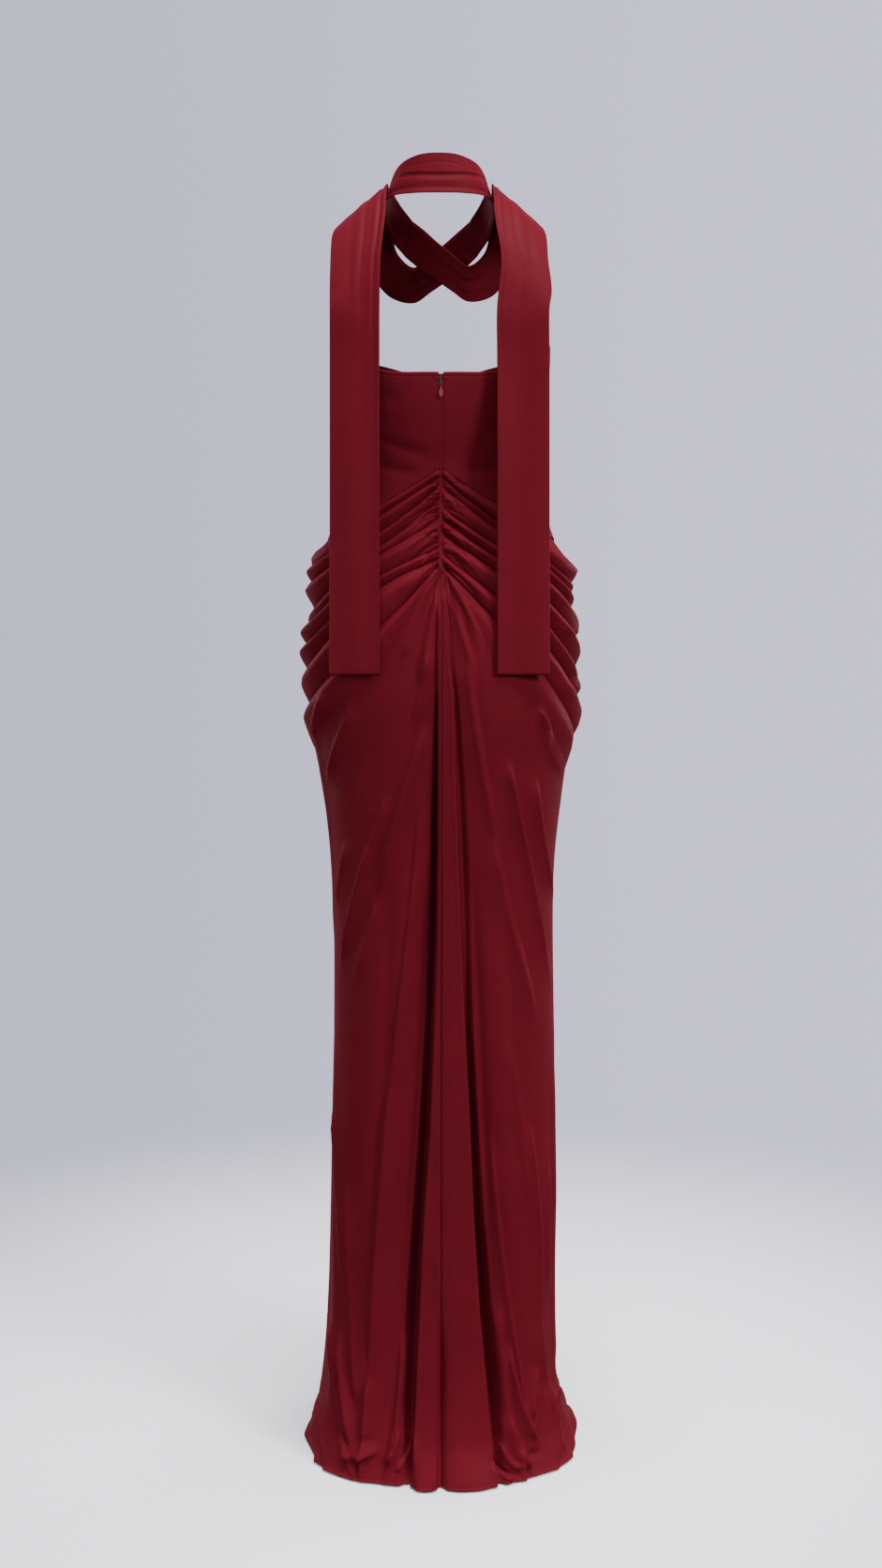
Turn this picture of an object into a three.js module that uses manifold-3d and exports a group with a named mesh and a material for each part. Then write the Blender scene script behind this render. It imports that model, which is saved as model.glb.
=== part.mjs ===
// A floor-length draped jersey dress, hollow as it is worn, seen best from behind: a firm strapless bodice
// with a centre-back zip, a skirt gathered along the centre back so that its folds swag round both hips,
// two long pleats that fall from the gathers to the hem, and a scarf wound once round the neck, whose two
// ends cross at the throat and hang down the back.
//
// Millimetres, +Z up. Heights in the tables are above the floor that the hem rests on, and the finished
// group is lowered so that the origin lies where the wearer's ribs hold the bodice. The front faces -Y and
// the wearer's left is +X. An angle round the body starts at the centre back (0), passes the side seam at a
// quarter turn and ends at the centre front; side is +1 on the wearer's left and -1 on the right.

import * as THREE from 'three';
import { mergeVertices } from 'three/addons/utils/BufferGeometryUtils.js';
import Module from 'manifold-3d';

const wasm = await Module();
wasm.setup();

const gripHeight = 1280;
const wallThickness = 1.8;
const seamGap = 0.3;
const quarterTurn = Math.PI / 2;
const squareness = 0.06; // how much fuller than an ellipse the body's sections are

const red = { color: 0x6f1421, roughness: 0.72, metalness: 0 };
const zipRed = { color: 0x8c2233, roughness: 0.35, metalness: 0 };
const chainRed = { color: 0x5b3640, roughness: 0.5, metalness: 0 };

// The body's sections under the cloth's valleys: half width, depth before and behind the body's axis.
const sections = [
  { height: 1400, halfWidth: 137, front: 96, back: 100 },
  { height: 1370, halfWidth: 138, front: 106, back: 105 },
  { height: 1330, halfWidth: 136, front: 113, back: 108 },
  { height: 1290, halfWidth: 131, front: 113, back: 104 },
  { height: 1250, halfWidth: 126, front: 105, back: 96 },
  { height: 1215, halfWidth: 124, front: 97, back: 88 },
  { height: 1180, halfWidth: 129, front: 92, back: 86 },
  { height: 1150, halfWidth: 136, front: 91, back: 88 },
  { height: 1125, halfWidth: 145, front: 93, back: 92 },
  { height: 1100, halfWidth: 157, front: 97, back: 99 },
  { height: 1075, halfWidth: 162, front: 100, back: 106 },
  { height: 1040, halfWidth: 164, front: 103, back: 113 },
  { height: 1000, halfWidth: 167, front: 105, back: 118 },
  { height: 960, halfWidth: 168, front: 106, back: 120 },
  { height: 920, halfWidth: 166, front: 106, back: 119 },
  { height: 880, halfWidth: 160, front: 105, back: 116 },
  { height: 840, halfWidth: 153, front: 104, back: 112 },
  { height: 790, halfWidth: 146.5, front: 102, back: 108 },
  { height: 740, halfWidth: 141.5, front: 100, back: 105 },
  { height: 680, halfWidth: 139, front: 99, back: 103 },
  { height: 580, halfWidth: 138.5, front: 98, back: 102 },
  { height: 440, halfWidth: 140, front: 98, back: 103 },
  { height: 300, halfWidth: 141, front: 100, back: 106 },
  { height: 200, halfWidth: 142, front: 103, back: 110 },
  { height: 130, halfWidth: 144, front: 108, back: 115 },
  { height: 80, halfWidth: 148, front: 114, back: 121 },
  { height: 45, halfWidth: 153.5, front: 122, back: 128 },
  { height: 22, halfWidth: 160, front: 131, back: 136 },
  { height: 9, halfWidth: 165, front: 138, back: 143 },
  { height: 4, halfWidth: 169, front: 144, back: 149 },
  { height: 2.4, halfWidth: 172.5, front: 150, back: 153.5 },
];

// One row for each fold that swags round a hip, by the valley above it: its height at the centre back,
// under the scarf end's inner and outer edge, at the side seam and towards the front, and the fold's depth.
const foldAngles = [0, 0.47, 0.99, quarterTurn, 2.25, Math.PI];
const foldStations = ['seam', 'inner', 'outer', 'side', 'beyond', 'front'];
const leftFolds = [
  { seam: 1209, inner: 1171, outer: 1134, side: 1129, beyond: 1122, front: 1128, depth: 7 },
  { seam: 1199, inner: 1159, outer: 1115, side: 1101, beyond: 1092, front: 1102, depth: 10 },
  { seam: 1191, inner: 1136, outer: 1090, side: 1080, beyond: 1068, front: 1077, depth: 11 },
  { seam: 1176, inner: 1116, outer: 1065, side: 1048, beyond: 1038, front: 1046, depth: 7 },
  { seam: 1150, inner: 1102, outer: 1047, side: 1023, beyond: 1012, front: 1018, depth: 10 },
  { seam: 1113, inner: 1074, outer: 1018, side: 1000, beyond: 985, front: 989, depth: 13 },
  { seam: 1099, inner: 1060, outer: 995, side: 967, beyond: 952, front: 957, depth: 14 },
  { seam: 1091, inner: 1010, outer: 948, side: 922, beyond: 908, front: 914, depth: 11 },
  { seam: 1080, inner: 960, outer: 896, side: 864, beyond: 852, front: 860, depth: 0 },
];
const rightFolds = [
  { seam: 1209, inner: 1169, outer: 1134, side: 1129, beyond: 1122, front: 1128, depth: 13 },
  { seam: 1199, inner: 1148, outer: 1091, side: 1075, beyond: 1066, front: 1102, depth: 5 },
  { seam: 1188, inner: 1136, outer: 1081, side: 1062, beyond: 1052, front: 1077, depth: 7 },
  { seam: 1162, inner: 1112, outer: 1066, side: 1041, beyond: 1031, front: 1046, depth: 10 },
  { seam: 1147, inner: 1094, outer: 1036, side: 1002, beyond: 992, front: 1018, depth: 12 },
  { seam: 1130, inner: 1074, outer: 1000, side: 962, beyond: 952, front: 989, depth: 9 },
  { seam: 1104, inner: 1042, outer: 972, side: 931, beyond: 921, front: 957, depth: 9 },
  { seam: 1091, inner: 1010, outer: 928, side: 882, beyond: 874, front: 914, depth: 4 },
  { seam: 1080, inner: 956, outer: 876, side: 838, beyond: 836, front: 860, depth: 0 },
];
const foldPeak = 0.4; // how far down a fold its crest lies
const steepestFold = 0.2; // a crest's greatest rise, as a share of the height between its valleys
const foldShare = [
  { angle: 0, share: 0.34 },
  { angle: 0.47, share: 0.55 },
  { angle: 0.99, share: 0.85 },
  { angle: quarterTurn, share: 1 },
  { angle: 2.1, share: 0.8 },
  { angle: 2.6, share: 0.45 },
  { angle: Math.PI, share: 0.3 },
];

// The two long pleats beside the centre-back seam. On the left a narrow strip and its valley, on the right
// a broad one: how far the edge and the bank across the valley lie from the seam, and the valley's depth.
const pleats = [
  { height: 1030, strip: 4, stripBank: 8, stripDepth: 0, panel: 5, panelBank: 9, panelDepth: 0 },
  { height: 980, strip: 4, stripBank: 8, stripDepth: 5, panel: 9, panelBank: 14, panelDepth: 2 },
  { height: 934, strip: 4, stripBank: 9, stripDepth: 14, panel: 14.5, panelBank: 20, panelDepth: 5 },
  { height: 888, strip: 4, stripBank: 11.5, stripDepth: 21, panel: 16, panelBank: 24, panelDepth: 6 },
  { height: 821, strip: 4, stripBank: 13, stripDepth: 24, panel: 17.5, panelBank: 29, panelDepth: 6 },
  { height: 754, strip: 4, stripBank: 13.5, stripDepth: 25, panel: 20, panelBank: 33, panelDepth: 7 },
  { height: 641, strip: 5.6, stripBank: 16.5, stripDepth: 26, panel: 24, panelBank: 37, panelDepth: 9 },
  { height: 528, strip: 9, stripBank: 21, stripDepth: 26, panel: 29, panelBank: 39.5, panelDepth: 15 },
  { height: 416, strip: 13, stripBank: 28, stripDepth: 27, panel: 35, panelBank: 46, panelDepth: 23 },
  { height: 303, strip: 20.8, stripBank: 37, stripDepth: 28, panel: 39.5, panelBank: 53, panelDepth: 26 },
  { height: 191, strip: 26, stripBank: 46, stripDepth: 26, panel: 46, panelBank: 62, panelDepth: 25 },
  { height: 80, strip: 30.4, stripBank: 50, stripDepth: 19, panel: 55.7, panelBank: 72, panelDepth: 18 },
  { height: 35, strip: 33, stripBank: 48, stripDepth: 11, panel: 60, panelBank: 73, panelDepth: 11 },
  { height: 8, strip: 36, stripBank: 46, stripDepth: 4, panel: 64, panelBank: 73, panelDepth: 4 },
  { height: 0, strip: 37, stripBank: 46, stripDepth: 2, panel: 65, panelBank: 73, panelDepth: 2 },
];

// Broad soft folds of the hanging skirt: the line that each crest follows, its breadth and its rise.
const softFolds = [
  { side: 1, topAngle: 0.16, top: 1060, footAngle: 0.62, foot: 780, breadth: 13, rise: 3 },
  { side: 1, topAngle: 0.1, top: 1000, footAngle: 0.42, foot: 640, breadth: 13, rise: 3 },
  { side: 1, topAngle: 1.18, top: 880, footAngle: 1.42, foot: 640, breadth: 13, rise: 3 },
  { side: 1, topAngle: 0.5, top: 620, footAngle: 0.5, foot: 60, breadth: 17, rise: 4 },
  { side: 1, topAngle: 0.88, top: 430, footAngle: 0.62, foot: 30, breadth: 14, rise: 5 },
  { side: 1, topAngle: 1.2, top: 480, footAngle: 1.0, foot: 30, breadth: 15, rise: 4 },
  { side: -1, topAngle: 0.2, top: 1050, footAngle: 0.6, foot: 820, breadth: 13, rise: 3 },
  { side: -1, topAngle: 0.3, top: 820, footAngle: 0.72, foot: 520, breadth: 15, rise: 3 },
  { side: -1, topAngle: 0.62, top: 860, footAngle: 1.1, foot: 540, breadth: 13, rise: 3 },
  { side: -1, topAngle: 0.5, top: 500, footAngle: 0.76, foot: 40, breadth: 15, rise: 4 },
  { side: -1, topAngle: 0.95, top: 460, footAngle: 0.95, foot: 60, breadth: 15, rise: 5 },
  { side: -1, topAngle: 1.3, top: 480, footAngle: 1.25, foot: 30, breadth: 14, rise: 4 },
  { side: 1, topAngle: 2.0, top: 800, footAngle: 1.85, foot: 30, breadth: 18, rise: 5 },
  { side: 1, topAngle: 2.55, top: 860, footAngle: 2.4, foot: 30, breadth: 18, rise: 5 },
  { side: -1, topAngle: 2.05, top: 780, footAngle: 1.9, foot: 30, breadth: 18, rise: 5 },
  { side: -1, topAngle: 2.6, top: 880, footAngle: 2.5, foot: 30, breadth: 18, rise: 5 },
];

// The bodice's top edge, by angle from the centre back.
const topEdge = [
  { angle: 0, height: 1320 },
  { angle: 0.5, height: 1326 },
  { angle: 1.0, height: 1350 },
  { angle: quarterTurn, height: 1377 },
  { angle: 2.2, height: 1376 },
  { angle: 2.65, height: 1371 },
  { angle: Math.PI, height: 1352 },
];
const cup = { angle: 2.56, height: 1302, breadth: 50, rise: 15 };

// How far the centre-back edges stand from the middle: a notch above the slider, room for the chain beside
// the zip, then a closed seam.
const backEdges = [
  { height: 1330, apart: 5.2 },
  { height: 1318, apart: 4 },
  { height: 1312, apart: 3 },
  { height: 1302, apart: 2.8 },
  { height: 1298, apart: 1.5 },
  { height: 1095, apart: 1.5 },
  { height: 1070, apart: seamGap / 2 },
  { height: 0, apart: seamGap / 2 },
];
const chainHalfWidth = 1.1;
const chainThickness = 1.4;
const chainSink = 0.6; // how far in from the cloth's face the chain lies
const chainTop = 1302.7;
const chainFoot = 1098;
const chainSteps = 14;
const slider = { width: 4.2, footWidth: 2.6, length: 8, thickness: 2, middle: 1307 };
const bridge = { width: 1.2, reach: 2.6, length: 4.2, wall: 0.8 };
const pull = {
  bar: 0.9, play: 0.3, eyeHalfWidth: 1, eyeFoot: 3.2, arm: 0.8, neckHalfWidth: 0.7, thickness: 1, length: 17,
  width: 4.6,
};

const settlingRounds = 8;
const bodiceRows = 9;
const bodiceCrowding = 1.15; // above 1 the rows lie closer together near the top edge
const sideCrowding = 0.9; // below 1 the columns lie closer together near the side seam
const waistZone = { foot: 1085, top: 1195 }; // over these heights the columns become even
const pleatColumns = 8;
const sideColumns = 9;
const frontColumns = 8; // on each side of the centre front

const clamp01 = (value) => Math.min(1, Math.max(0, value));
const mix = (a, b, share) => a + (b - a) * share;
const ease = (from, to, value) => {
  const t = clamp01((value - from) / (to - from));
  return t * t * (3 - 2 * t);
};

// A smooth curve through one column of a table, read at any value of another column. It can end level.
function curveThrough(rows, along, of, levelEnd = false) {
  const sorted = [...rows].sort((a, b) => a[along] - b[along]);
  const x = sorted.map((row) => row[along]);
  const y = sorted.map((row) => row[of]);
  const last = x.length - 1;
  const slope = x.map((_, i) => {
    const before = Math.max(i - 1, 0);
    const after = Math.min(i + 1, last);
    return (y[after] - y[before]) / (x[after] - x[before]);
  });
  if (levelEnd) slope[last] = 0;
  return (at) => {
    if (at <= x[0]) return y[0];
    if (at >= x[last]) return y[last];
    let i = 0;
    while (x[i + 1] < at) i += 1;
    const span = x[i + 1] - x[i];
    const t = (at - x[i]) / span;
    const s = 1 - t;
    return y[i] * s * s * (1 + 2 * t) + y[i + 1] * t * t * (3 - 2 * t)
      + span * (slope[i] * s * s * t - slope[i + 1] * t * t * s);
  };
}

// The same without overshoot, for edges that must stay apart.
function linesThrough(rows, along, of) {
  const sorted = [...rows].sort((a, b) => a[along] - b[along]);
  return (at) => {
    const after = sorted.findIndex((row) => row[along] >= at);
    if (after === -1) return sorted[sorted.length - 1][of];
    if (after === 0) return sorted[0][of];
    const low = sorted[after - 1];
    const high = sorted[after];
    return mix(low[of], high[of], (at - low[along]) / (high[along] - low[along]));
  };
}

const halfWidthAt = curveThrough(sections, 'height', 'halfWidth');
const frontAt = curveThrough(sections, 'height', 'front');
const backAt = curveThrough(sections, 'height', 'back');
const foldShareAt = curveThrough(foldShare, 'angle', 'share');
const topEdgeAt = curveThrough(topEdge, 'angle', 'height');
const backEdgeAt = linesThrough(backEdges, 'height', 'apart');
const pleatAt = Object.fromEntries(
  ['strip', 'stripBank', 'stripDepth', 'panel', 'panelBank', 'panelDepth']
    .map((column) => [column, linesThrough(pleats, 'height', column)]),
);

// The plain body at an angle and height, moved out by a relief along its own level normal.
function bodyPoint(side, angle, height, relief) {
  const halfWidth = halfWidthAt(height);
  const depth = Math.cos(angle) > 0 ? backAt(height) : frontAt(height);
  const fullness = 1 + squareness * Math.sin(2 * angle) ** 2;
  const out = new THREE.Vector2(Math.sin(angle) / halfWidth, Math.cos(angle) / depth).normalize();
  return new THREE.Vector3(
    side * (halfWidth * Math.sin(angle) * fullness + out.x * relief),
    depth * Math.cos(angle) * fullness + out.y * relief,
    height,
  );
}

function angleAt(distance, height) {
  return Math.asin(Math.min(0.999, distance / halfWidthAt(height)));
}

const foldsOf = (side) => (side > 0 ? leftFolds : rightFolds);

// The height of a numbered valley at an angle round the body.
const valleyCurves = new Map([1, -1].map((side) => [side, foldsOf(side).map((fold) => curveThrough(
  foldAngles.map((angle, i) => ({ angle, height: fold[foldStations[i]] })),
  'angle',
  'height',
  true,
))]));
const valleyHeight = (side, number, angle) => valleyCurves.get(side)[number](angle);

// Round crests between sharp valleys.
function foldRelief(side, angle, height) {
  const folds = foldsOf(side);
  for (let i = 0; i < folds.length - 1; i += 1) {
    const above = valleyHeight(side, i, angle);
    const below = valleyHeight(side, i + 1, angle);
    if (height <= above && height > below) {
      const down = ((above - height) / (above - below)) ** (Math.log(0.5) / Math.log(foldPeak));
      const evenDepth = (leftFolds[i].depth + rightFolds[i].depth) / 2;
      const depth = mix(folds[i].depth, evenDepth, ease(quarterTurn, Math.PI, angle));
      const roundest = steepestFold * (above - below);
      return Math.min(depth * foldShareAt(angle), roundest) * Math.sin(Math.PI * down) ** 0.85;
    }
  }
  return 0;
}

const pleatEdges = (side, height) => (side > 0
  ? { edge: pleatAt.strip(height), bank: pleatAt.stripBank(height), depth: pleatAt.stripDepth(height) }
  : { edge: pleatAt.panel(height), bank: pleatAt.panelBank(height), depth: pleatAt.panelDepth(height) });

const seamGroove = { depth: 2.2, halfWidth: 3, top: 1030, full: 700 };

function pleatRelief(side, distance, height) {
  const { edge, bank, depth } = pleatEdges(side, height);
  const width = bank - edge;
  const drop = ease(edge - 1.2, edge + 1.2, distance);
  const climb = ease(edge + 0.55 * width, bank + 2, distance);
  const groove = seamGroove.depth * ease(seamGroove.top, seamGroove.full, height)
    * (1 - ease(0, seamGroove.halfWidth, distance));
  return -depth * drop * (1 - climb) - groove;
}

function softRelief(side, angle, height) {
  let relief = 0;
  for (const fold of softFolds) {
    if (fold.side !== side) continue;
    const along = (fold.top - height) / (fold.top - fold.foot);
    const crest = mix(fold.topAngle, fold.footAngle, clamp01(along));
    const away = ((angle - crest) * halfWidthAt(height)) / fold.breadth;
    const ends = ease(-0.12, 0.18, along) * (1 - 0.5 * ease(0.9, 1.1, along));
    relief += fold.rise * Math.exp(-away * away) * ends;
  }
  return relief;
}

// The cloth breaks on the floor in shallow lobes, broadest under the two pleats.
const hemLobes = { count: 9, reach: 2.5, pleatReach: 5 };

function hemRelief(side, angle, distance, height) {
  const nearFloor = 1 - ease(5, 60, height);
  const lobes = hemLobes.reach * Math.sin(hemLobes.count * angle + side);
  const { edge } = pleatEdges(side, height);
  const underPleat = angle < quarterTurn ? 1 - ease(edge - 8, edge + 2, distance) : 0;
  return nearFloor * (lobes * ease(0.2, 0.5, angle) + hemLobes.pleatReach * underPleat);
}

function skirtPoint(side, angle, height) {
  const distance = halfWidthAt(height) * Math.sin(angle);
  const behind = angle < quarterTurn;
  const relief = foldRelief(side, angle, height) + softRelief(side, angle, height)
    + hemRelief(side, angle, distance, height) + (behind ? pleatRelief(side, distance, height) : 0);
  return bodyPoint(side, angle, height, relief);
}

function bodicePoint(side, angle, height) {
  const across = ((angle - cup.angle) * halfWidthAt(height)) / cup.breadth;
  const up = (height - cup.height) / cup.breadth;
  return bodyPoint(side, angle, height, cup.rise * Math.exp(-(across ** 2) - up ** 2));
}

// Skirt rows: three for each hip fold, then level rows down to the hem. Higher up the level rows rise
// towards the centre back, as the lowest valley does.
const stepsDownFold = [0, 0.25, 0.6];
const hangingRows = [
  842, 818, 793, 766, 735, 700, 660, 610, 550, 480, 400, 320, 240, 170, 115, 76, 48, 28, 14, 6, 2.4,
];
const levelFrom = { foot: 500, top: 900 }; // rows under the foot are level
const belowValley = 20; // how far the first hanging row lies under the lowest valley

function rowHeights(side, angle) {
  const folds = foldsOf(side);
  const heights = [];
  for (let i = 0; i < folds.length - 1; i += 1) {
    const above = valleyHeight(side, i, angle);
    const below = valleyHeight(side, i + 1, angle);
    for (const step of stepsDownFold) heights.push(mix(above, below, step));
  }
  const lowest = valleyHeight(side, folds.length - 1, angle);
  heights.push(lowest);
  const level = hangingRows[0];
  for (const row of hangingRows) {
    const tilt = ease(levelFrom.foot, levelFrom.top, row) / ease(levelFrom.foot, levelFrom.top, level);
    heights.push(row + (lowest - belowValley - level) * tilt ** 1.2);
  }
  return heights;
}

const awayFromAxis = (point) => new THREE.Vector3(point.x, point.y, 0);
const acrossBack = new THREE.Vector3(1, 0, 0);
const acrossSide = new THREE.Vector3(0, 1, 0);
const straightDown = new THREE.Vector3(0, 0, -1);

// A cloth wall between a grid of outer points and the same grid moved in along its normals. Rows run along
// the first index. facing tells which way is out at a point. A seam names the level direction across it at
// the first and last column, and waist the row on the waist seam: the move in leaves that direction alone,
// so that both walls end flat at the seam.
function clothWall(outer, how = {}) {
  const { thickness = wallThickness, facing = awayFromAxis, floor = -Infinity, seams = [], waist } = how;
  const rows = outer.length;
  const columns = outer[0].length;
  const within = (index, count) => Math.min(count - 1, Math.max(0, index));
  const near = (grid, i, j) => grid[within(i, rows)][within(j, columns)];
  const downFrom = (i, j) => near(outer, i + 1, j).clone().sub(near(outer, i - 1, j)).normalize();
  const normals = outer.map((row, i) => row.map((point, j) => {
    const down = i === waist ? straightDown : downFrom(i, j);
    const before = point.clone().sub(near(outer, i, j - 1)).normalize();
    const after = near(outer, i, j + 1).clone().sub(point).normalize();
    return down.clone().cross(before.add(after)).normalize();
  }));
  const evened = normals.map((row, i) => row.map((normal, j) => {
    const sum = normal.clone().multiplyScalar(2);
    if (i !== waist) sum.add(near(normals, i - 1, j)).add(near(normals, i + 1, j));
    sum.add(near(normals, i, j - 1)).add(near(normals, i, j + 1));
    const across = (j === 0 && seams[0]) || (j === columns - 1 && seams[1]);
    if (across) sum.addScaledVector(across, -sum.dot(across));
    return sum.normalize();
  }));
  const middle = [Math.floor(rows / 2), Math.floor(columns / 2)];
  const flip = evened[middle[0]][middle[1]].dot(facing(outer[middle[0]][middle[1]])) < 0;
  const inner = outer.map((row, i) => row.map((point, j) => {
    const moved = point.clone().addScaledVector(evened[i][j], flip ? thickness : -thickness);
    moved.z = Math.max(moved.z, floor);
    return moved;
  }));
  const positions = [...outer.flat(), ...inner.flat()].flatMap((point) => point.toArray());
  const faces = [];
  const triangle = (a, b, c) => faces.push(...(flip ? [a, c, b] : [a, b, c]));
  const quad = (a, b, c, d) => {
    triangle(a, b, c);
    triangle(a, c, d);
  };
  const out = (i, j) => i * columns + j;
  const back = (i, j) => rows * columns + out(i, j);
  for (let i = 0; i < rows - 1; i += 1) {
    for (let j = 0; j < columns - 1; j += 1) {
      quad(out(i, j), out(i + 1, j), out(i + 1, j + 1), out(i, j + 1));
      quad(back(i, j), back(i, j + 1), back(i + 1, j + 1), back(i + 1, j));
    }
  }
  for (let i = 0; i < rows - 1; i += 1) {
    quad(out(i + 1, 0), out(i, 0), back(i, 0), back(i + 1, 0));
    quad(out(i, columns - 1), out(i + 1, columns - 1), back(i + 1, columns - 1), back(i, columns - 1));
  }
  for (let j = 0; j < columns - 1; j += 1) {
    quad(out(0, j), out(0, j + 1), back(0, j + 1), back(0, j));
    quad(out(rows - 1, j + 1), out(rows - 1, j), back(rows - 1, j), back(rows - 1, j + 1));
  }
  const geometry = new THREE.BufferGeometry();
  geometry.setAttribute('position', new THREE.Float32BufferAttribute(positions, 3));
  geometry.setIndex(faces);
  geometry.computeVertexNormals();
  return geometry;
}

function piece(name, geometry, finish) {
  const mesh = new THREE.Mesh(geometry, new THREE.MeshStandardMaterial(finish));
  mesh.name = name;
  return mesh;
}

// Back columns: even at the waist, and lower down close together over the pleat's strip, valley and bank.
function evenAngle(height, column) {
  const from = angleAt(backEdgeAt(height), height);
  const to = quarterTurn - seamGap / 2 / halfWidthAt(height);
  return mix(from, to, column / (pleatColumns + sideColumns - 1));
}

function backColumnAngles(side, height, nearWaist) {
  const { edge, bank } = pleatEdges(side, height);
  const seam = backEdgeAt(height);
  const width = bank - edge;
  const distances = [
    seam,
    seam + 0.25 * (edge - seam),
    seam + 0.5 * (edge - seam),
    edge - 0.2 * Math.min(4, edge - seam),
    edge + 1.3,
    edge + 0.55 * width,
    bank - 0.12 * width,
    bank + 2.5,
  ];
  const angles = distances.map((distance) => angleAt(distance, height));
  const from = angles[pleatColumns - 1];
  const to = quarterTurn - seamGap / 2 / halfWidthAt(height);
  for (let i = 1; i <= sideColumns; i += 1) {
    angles.push(mix(from, to, (i / sideColumns) ** sideCrowding));
  }
  return angles.map((angle, column) => mix(angle, evenAngle(height, column), nearWaist));
}

// The rows' heights and the columns' angles depend on each other, so a few rounds settle both.
function backSkirt(side) {
  return rowHeights(side, 0).map((seamHeight, i) => {
    const nearWaist = ease(waistZone.foot, waistZone.top, seamHeight);
    const row = [];
    for (let j = 0; j < pleatColumns + sideColumns; j += 1) {
      let height = seamHeight;
      let angle = 0;
      for (let round = 0; round < settlingRounds; round += 1) {
        angle = backColumnAngles(side, height, nearWaist)[j];
        height = rowHeights(side, angle)[i];
      }
      row.push(skirtPoint(side, angle, height));
    }
    return row;
  });
}

const sideSeamAngle = seamGap / 2 / 130; // half of the gap over the narrowest half width of the body

function frontSkirt() {
  const rows = rowHeights(1, quarterTurn).length;
  const grid = [];
  for (let i = 0; i < rows; i += 1) {
    const row = [];
    for (let j = -frontColumns; j <= frontColumns; j += 1) {
      const side = j < 0 ? 1 : -1;
      const share = Math.abs(j) / frontColumns;
      const angle = mix(Math.PI, quarterTurn + sideSeamAngle, share);
      row.push(skirtPoint(side, angle, rowHeights(side, angle)[i]));
    }
    grid.push(row);
  }
  return grid;
}

const skirtTopAt = (side, angle) => valleyHeight(side, 0, angle) + seamGap;

function bodiceBack(side) {
  const grid = [];
  for (let i = 0; i <= bodiceRows; i += 1) {
    const row = [];
    for (let j = 0; j < pleatColumns + sideColumns; j += 1) {
      let height = topEdgeAt(0);
      let angle = 0;
      for (let round = 0; round < settlingRounds; round += 1) {
        angle = evenAngle(height, j);
        height = mix(topEdgeAt(angle), skirtTopAt(side, angle), (i / bodiceRows) ** bodiceCrowding);
      }
      row.push(bodicePoint(side, angle, height));
    }
    grid.push(row);
  }
  return grid;
}

function bodiceFront() {
  const grid = [];
  for (let i = 0; i <= bodiceRows; i += 1) {
    const row = [];
    for (let j = -frontColumns; j <= frontColumns; j += 1) {
      const side = j < 0 ? 1 : -1;
      const angle = mix(Math.PI, quarterTurn + sideSeamAngle, Math.abs(j) / frontColumns);
      const height = mix(topEdgeAt(angle), skirtTopAt(side, angle), i / bodiceRows);
      row.push(bodicePoint(side, angle, height));
    }
    grid.push(row);
  }
  return grid;
}

// The scarf's stretches, each as a ribbon between two edges. near is the edge on the neck's side.
const neckBand = [
  { near: [38, -42, 1551], far: [47, -56, 1509] },
  { near: [50, -26, 1570], far: [63, -34, 1524] },
  { near: [54.5, 2, 1589], far: [70, 4, 1544] },
  { near: [44, 33, 1598], far: [57, 42, 1549] },
  { near: [22, 49, 1602], far: [30, 62, 1550] },
  { near: [0, 53, 1603], far: [0, 67, 1550] },
  { near: [-22, 49, 1602], far: [-30, 62, 1550] },
  { near: [-44, 33, 1598], far: [-57, 42, 1549] },
  { near: [-54.5, 2, 1589], far: [-70, 4, 1544] },
  { near: [-50, -26, 1570], far: [-63, -34, 1524] },
  { near: [-38, -42, 1551], far: [-47, -56, 1509] },
];
// From the neck band's right end across the throat and over the wearer's left shoulder. The scarf's other
// end is its mirror image, laid under it where the two cross.
const overShoulder = [
  { near: [-37.6, -42.5, 1550.4], far: [-46.5, -56.7, 1508.5] },
  { near: [-22, -58, 1541], far: [-30, -72, 1497] },
  { near: [-4, -66, 1527], far: [-8, -81, 1484] },
  { near: [16, -70, 1512], far: [14, -86, 1470] },
  { near: [36, -69, 1497], far: [36, -90, 1457] },
  { near: [57, -62, 1513], far: [68, -86, 1464] },
  { near: [68, -32, 1559], far: [100, -60, 1500] },
  { near: [72, 0, 1581], far: [127, -10, 1530] },
  { near: [73, 38, 1562], far: [134, 46, 1507] },
  { near: [73.5, 78, 1512], far: [134, 84, 1462] },
  { near: [74, 103, 1455], far: [133.5, 102, 1420] },
];
const tailFoot = 957;
const tailTop = { height: 1395, behind: 112 };
const tailSettles = { top: 1440, foot: 1120 }; // between these heights a tail comes to lie on the skirt
const tailRows = 9;
const throatLift = 8; // how much nearer the body the right end lies where the two cross
const tailStandOff = 0.7;
const tailWidths = { 1: { near: 74, far: 133.5 }, [-1]: { near: 67.5, far: 131 } };
const tailInset = { top: 2, foot: 9 }; // how much nearer the body the outer edge hangs
const tailPleat = { reach: 1.6, count: 1.5 };
const ribbonColumns = 5;
const tailSteps = 44;
const bandSteps = 28;

// The skirt's outermost point behind the scarf's ends, which hang against it.
function reachBehind(side, distance, from, to) {
  let reach = 0;
  for (let height = from; height <= to; height += 2) {
    for (let across = distance - 3; across <= distance + 40; across += 3) {
      reach = Math.max(reach, skirtPoint(side, angleAt(across, height), height).y);
    }
  }
  return reach;
}

const aheadStep = 0.01;

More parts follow.
